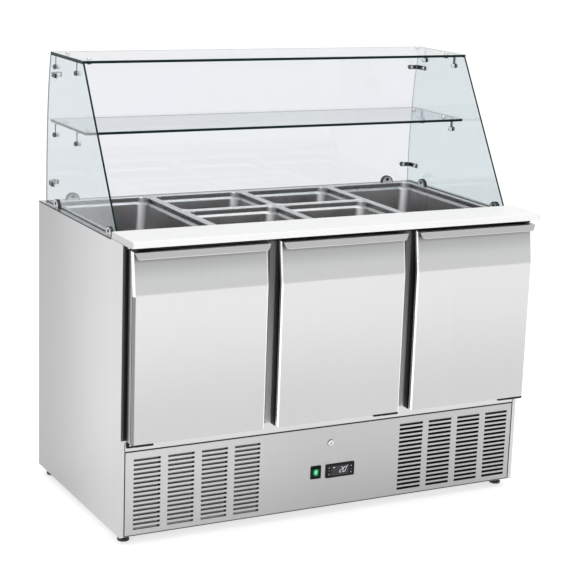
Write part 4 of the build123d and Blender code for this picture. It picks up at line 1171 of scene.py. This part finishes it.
# key legends: a bulb-like drop, a box, bars, an arrow pair
for cx_, cz_, kind in ((684.0, 150.0, 0), (684.0, 141.0, 1), (684.0, 129.0, 2), (761.0, 149.6, 3), (761.0, 138.0, 1),
                       (761.0, 129.0, 4)):
    if kind == 0:
        p.add(lathe([(0, -3.8), (1.0, -3.8), (1.0, -3.3), (0, -3.3)], "y", (cx_ - 0.6, cz_ + 1.2), 14), "icon")
        p.add(bar(cx_ - 1.4, cz_ - 2.2, cx_ + 1.8, cz_ + 2.6, 1.3), "icon")
    elif kind == 1:
        p.add(lathe([(0, -3.8), (1.1, -3.8), (1.1, -3.3), (0, -3.3)], "y", (cx_, cz_), 14), "icon")
    elif kind == 2:
        for dz in (-1.8, 0.2, 2.2):
            p.add(bar(cx_ - 2.2, cz_ + dz, cx_ + 2.0, cz_ + dz + 0.6, 1.0), "icon")
    elif kind == 3:
        p.add(prism([(cx_ - 2.6, cz_ - 1.6), (cx_ + 2.6, cz_ - 1.6), (cx_, cz_ + 2.4)], "y", -3.8, -3.3), "icon")
    else:
        p.add(prism([(cx_ - 2.6, cz_ + 1.6), (cx_ + 2.6, cz_ + 1.6), (cx_, cz_ - 2.4)], "y", -3.8, -3.3), "icon")
p.done()

# ------------------------------------------------------------------ refrigeration
p = Piece("compressor_shell", "cabinet", ("compressor",), "compressor_black", 35)
prof = [(0, 46.2), (78, 46.2), (84.5, 48.5), (87.4, 54.0), (88.0, 62.0), (88.0, 138.0), (90.0, 139.5), (90.0, 142.5),
        (88.0, 144.0), (88.0, 168.0)]
for k in range(1, 10):
    t = math.radians(10 * k)
    prof.append((88.0 * math.cos(t) ** 0.8, 170.0 + 60.0 * math.sin(t)))
prof.append((0, 230.6))
p.add(lathe(prof, "z", (1060.0, 420.0), 56), "compressor")
p.add(prism(round_poly([(955, 350), (1165, 350), (1165, 490), (955, 490)], 14, 6), "z", 42.0, 46.4), "compressor", 0.6, 2)
for sx in (-85, 85):
    for sy in (-55, 55):
        p.add(lathe([(0, 28.3), (11.4, 28.3), (12.0, 30.0), (9.6, 33.0), (9.6, 37.0), (12.0, 40.0), (11.4, 42.0), (0, 42.0)],
                    "z", (1060 + sx, 420 + sy), 28), "gasket")
        p.add(lathe([(0, 46.0), (6.5, 46.0), (6.5, 50.0), (0, 50.0)], "z", (1060 + sx, 420 + sy), 6), "stud", 0.3, 1)
p.add(block(1052, 1104, 322, 338, 96, 152), "black", 3.0, 3)
p.add(lathe([(0, 70), (4, 70), (4, 128), (0, 128)], "z", (1128.0, 470.0), 16), "copper")
p.done()

p = Piece("condenser_coil", "cabinet", ("condenser",), "fin_aluminium", 35)
for x in (60.0, 437.6):
    p.add(block(x, x + 2.4, 22.0, 70.0, 28.2, 256.0), "galv", 0.4, 1)
for k in range(94):
    x = 66.0 + 3.95 * k
    p.add(block(x, x + 0.5, 24.0, 68.0, 32.0, 252.0), "fin")
for row, y in enumerate((34.0, 58.0)):
    for k in range(9):
        z = 44.0 + 24.5 * k + (6.0 if row else 0.0)
        p.add(lathe([(0, 62.0), (4.6, 62.0), (4.6, 438.0), (0, 438.0)], "x", (y, z), 14), "copper")
    for k in range(8):
        z = 44.0 + 24.5 * k + (6.0 if row else 0.0)
        ends = ((439.0, 8.0),) if k % 2 == 0 else ((61.0, -8.0),)
        for xe, dx in ends:
            arc = [(xe + dx * math.sin(math.radians(t)), y, z + 12.25 - 12.25 * math.cos(math.radians(t)))
                   for t in range(0, 181, 20)]
            p.add(tube(arc, 4.4, 10), "copper")
p.done()


def fan_piece(name, body, node, cx, cz, y0, y1, r0, r1, bore):
    """A pressed axial fan: hub with a dished nose and five curved, twisted blades."""
    p = Piece(name, body, (node,), "fan_plastic", 35)
    ym, half = (y0 + y1) / 2, (y1 - y0) / 2
    p.add(lathe([(bore + 0.05, y1), (r0 - 2, y1), (r0, y1 - 2), (r0, y0 + 3), (r0 - 3, y0 + 0.4), (r0 * 0.5, y0),
                 (bore + 0.05, y0 + 0.6)], "y", (cx, cz), 40, ring=True), "fan")
    for b in range(5):
        base = 2 * math.pi * b / 5
        loops = []
        steps = 9
        for k in range(steps):
            s = k / (steps - 1)
            r = r0 - 1.5 + (r1 - r0 + 1.5) * s
            span = math.radians(46 + 10 * s) * (1 - 0.18 * s * s)
            twist = math.radians(34 - 12 * s)
            sweep = math.radians(13) * s
            row_a, row_b = [], []
            m = 7
            for j in range(m):
                u = j / (m - 1) - 0.5
                ang = base + sweep + span * u
                rise = u * 2 * half * 0.86 * math.sin(twist) / math.sin(math.radians(34)) + 1.6 * (1 - 4 * u * u)
                rr = r * (1 - 0.05 * abs(2 * u) ** 3 * s)
                y = ym + rise
                row_a.append((cx + rr * math.cos(ang), y - 0.8, cz + rr * math.sin(ang)))
                row_b.append((cx + rr * math.cos(ang), y + 0.8, cz + rr * math.sin(ang)))
            loops.append(row_a + row_b[::-1])
        p.add(loft(loops), "fan")
    return p.done()


fan_piece("condenser_fan_blades", "condenser_rotor", "condenser_fan", 250.0, 150.0, 84.0, 108.0, 26.0, 90.0, 4.05)
fan_piece("evaporator_fan_blades", "evaporator_rotor", "evaporator_fan", 690.0, 585.0, 576.6, 595.4, 18.0, 72.0, 3.05)

p = Piece("condenser_fan_drive", "cabinet", ("condenser_fan_motor",), "compressor_black", 35)
p.add(lathe([(0, 112.0), (30, 112.0), (38, 113.5), (40, 117.0), (40, 130.0), (38.5, 131.0), (38.5, 133.0), (40, 134.0),
             (40, 146.0), (37, 150.0), (0, 150.0)], "y", (250.0, 150.0), 44), "compressor")
p.add(lathe([(0, 80.0), (3.6, 80.0), (4.0, 80.6), (4.0, 112.5), (0, 112.5)], "y", (250.0, 150.0), 20), "stud")
p.add(prism(round_poly([(228, 28.2), (272, 28.2), (272, 190), (228, 190)], [0, 0, 10, 10], 5), "y", 150.0, 154.0), "galv",
      0.5, 1)
p.add(prism(round_poly([(190, 130), (310, 130), (310, 175), (190, 175)], 6, 4), "z", 28.2, 31.2), "galv", 0.5, 1)
p.done()

p = Piece("evaporator_coil", "cabinet", ("evaporator",), "fin_aluminium", 35)
for x in (530.0, 847.6):
    p.add(block(x, x + 2.4, 607.0, 664.0, 470.0, 700.0), "fin", 0.4, 1)
for k in range(78):
    x = 536.0 + 4.0 * k
    p.add(block(x, x + 0.5, 610.0, 662.0, 474.0, 696.0), "fin")
for k in range(8):
    z = 490.0 + 27.0 * k
    for y in (622.0, 648.0):
        p.add(lathe([(0, 532.0), (4.6, 532.0), (4.6, 848.0), (0, 848.0)], "x", (y, z), 14), "copper")
tray = round_poly([(520, 596), (860, 596), (860, 664), (520, 664)], 5, 4)
tray_in = round_poly([(522, 598), (858, 598), (858, 662), (522, 662)], 4, 4)
p.add(loft([[(a, b, 452.0) for a, b in tray], [(a, b, 470.0) for a, b in tray], [(a, b, 470.0) for a, b in tray_in],
            [(a, b, 454.0) for a, b in tray_in]]), "fan")
p.add(lathe([(0, 600.0), (28, 600.0), (32, 603.0), (32, 611.0), (0, 611.0)], "y", (690.0, 585.0), 40), "compressor")
p.add(lathe([(0, 572.0), (3.0, 572.0), (3.0, 601.0), (0, 601.0)], "y", (690.0, 585.0), 20), "stud")
p.done()

p = Piece("refrigerant_tubes", "cabinet", ("refrigerant_pipes",), "copper", 40)
for pts, r in (([(1149, 420, 120), (1175, 420, 120), (1175, 640, 120), (955, 640, 120), (955, 640, 600), (851, 640, 600)], 5.0),
               ([(445, 46, 90), (470, 46, 90), (470, 640, 90), (930, 640, 90), (930, 640, 560), (851, 640, 560)], 3.5),
               ([(971, 420, 150), (900, 420, 150), (900, 200, 150), (500, 200, 150), (500, 46, 150), (445, 46, 150)], 4.0)):
    p.add(tube(round_path(pts, 4.2 * r, 8), r, 14), "copper")
p.done()

# ------------------------------------------------------------------ wire shelves
BAYS = {"left": (42.0, 404.5), "middle": (500.5, 864.5), "right": (960.5, 1323.0)}
for name, (a, b) in BAYS.items():
    sx0, sx1, sy0, sy1, zw = a + 6, b - 6, 48.0, 652.0, 438.0
    p = Piece("%s_wire_shelf_grid" % name, "shelf_" + name, ("wire_shelf_" + name,), "wire", 40)
    ringp = [(q[0], q[1], zw + 3.0) for q in rrect((sx0 + sx1) / 2, (sy0 + sy1) / 2, (sx1 - sx0) / 2 - 3, (sy1 - sy0) / 2 - 3,
                                                   9.0, 0, 5)]
    p.add(tube(ringp, 3.0, 12, closed=True), "wire")
    for y in (253.0, 453.0):
        p.add(tube([(sx0 + 3, y, zw + 1.9), (sx1 - 3, y, zw + 1.9)], 1.9, 10), "wire")
    for k in range(1, 18):
        x = sx0 + (sx1 - sx0) * k / 18
        p.add(tube([(x, sy0 + 2.5, zw + 4.6), (x, sy1 - 2.5, zw + 4.6)], 1.4, 8), "wire")
    p.done()

# ------------------------------------------------------------------ floor, light, camera
def floor_mat():
    m, nt, b = new_mat("pale_floor")
    n = noise(nt, coords(nt), 3.0, 3.0)
    col = ramp(nt, n, [(0.3, (0.60, 0.60, 0.60)), (0.7, (0.61, 0.61, 0.61))])
    nt.links.new(col, b.inputs["Base Color"])
    b.inputs["Roughness"].default_value = 0.9
    b.inputs["Specular IOR Level"].default_value = 0.1
    b.inputs["Emission Color"].default_value = (1.0, 1.0, 1.0, 1.0)
    b.inputs["Emission Strength"].default_value = FLOOR_GLOW
    return m


FLOOR_GLOW = 0.57
bm = bmesh.new()
bmesh.ops.create_grid(bm, x_segments=8, y_segments=8, size=60.0)
me = bpy.data.meshes.new("studio_floor")
bm.to_mesh(me)
bm.free()
me.materials.append(floor_mat())
floor = bpy.data.objects.new("studio_floor", me)
floor.location = (0.0, 0.0, -0.0006)
bpy.context.scene.collection.objects.link(floor)

world = bpy.data.worlds.new("studio")
bpy.context.scene.world = world
world.use_nodes = True
nt = world.node_tree
nt.nodes.clear()
out = nt.nodes.new("ShaderNodeOutputWorld")
bg = nt.nodes.new("ShaderNodeBackground")
tc = nt.nodes.new("ShaderNodeTexCoord")
sep = nt.nodes.new("ShaderNodeSeparateXYZ")
nt.links.new(tc.outputs["Generated"], sep.inputs[0])
front = ramp(nt, maprange(nt, sep.outputs["Z"], -0.05, 1.0, 0.0, 1.0),
             [(0.0, (0.60, 0.61, 0.62)), (0.10, (0.65, 0.66, 0.67)), (0.35, (0.85, 0.86, 0.87)), (1.0, (1.0, 1.0, 1.0))])
rear = ramp(nt, maprange(nt, sep.outputs["Z"], -0.05, 1.0, 0.0, 1.0),
            [(0.0, (1.0, 1.0, 1.0)), (1.0, (1.0, 1.0, 1.0))])
sky = mix_rgb(nt, "MIX", maprange(nt, sep.outputs["Y"], -0.25, 0.4, 0.0, 1.0, True), front, rear)
straight = nt.nodes.new("ShaderNodeLightPath").outputs["Is Camera Ray"]
nt.links.new(mix_rgb(nt, "MIX", straight, sky, (1.05, 1.05, 1.05)), bg.inputs["Color"])
bg.inputs["Strength"].default_value = 0.95
nt.links.new(bg.outputs[0], out.inputs[0])


def area(name, loc, target, size, power, colour=(1, 1, 1)):
    li = bpy.data.lights.new(name, "AREA")
    li.shape = "RECTANGLE"
    li.size, li.size_y = size
    li.energy = power
    li.color = colour
    o = bpy.data.objects.new(name, li)
    bpy.context.scene.collection.objects.link(o)
    o.location = loc
    d = Vector(target) - Vector(loc)
    o.rotation_euler = d.to_track_quat("-Z", "Y").to_euler()
    return o


area("overhead_softbox", (0.2, -0.4, 3.6), (0.0, 0.0, 0.5), (3.4, 2.4), 34.0)
area("front_left_softbox", (-2.6, -3.4, 2.3), (0.0, 0.0, 0.6), (1.8, 2.2), 26.0)
area("right_softbox", (3.4, -1.4, 2.0), (0.0, 0.0, 0.7), (1.6, 2.0), 12.0)

cam_data = bpy.data.cameras.new("camera")
cam = bpy.data.objects.new("camera", cam_data)
bpy.context.scene.collection.objects.link(cam)
CX, CY, CZ, YAW, PITCH, ROLL, FPX = -1719.87, -4232.96, 1867.49, 0.484084, 0.231008, 0.034921, 1679.08
fw = Vector((math.sin(YAW) * math.cos(PITCH), math.cos(YAW) * math.cos(PITCH), -math.sin(PITCH)))
rt = fw.cross(Vector((0, 0, 1))).normalized()
up = rt.cross(fw)
r2 = rt * math.cos(ROLL) + up * math.sin(ROLL)
u2 = up * math.cos(ROLL) - rt * math.sin(ROLL)
mw = Matrix(((r2.x, u2.x, -fw.x, 0), (r2.y, u2.y, -fw.y, 0), (r2.z, u2.z, -fw.z, 0), (0, 0, 0, 1)))
cam.matrix_world = Matrix.Translation(P(CX, CY, CZ)) @ mw
cam_data.sensor_width = 36.0
cam_data.lens = FPX / 567.0 * 36.0
cam_data.clip_start = 0.05
cam_data.clip_end = 200.0
bpy.context.scene.camera = cam
bpy.context.scene.view_settings.view_transform = "Standard"
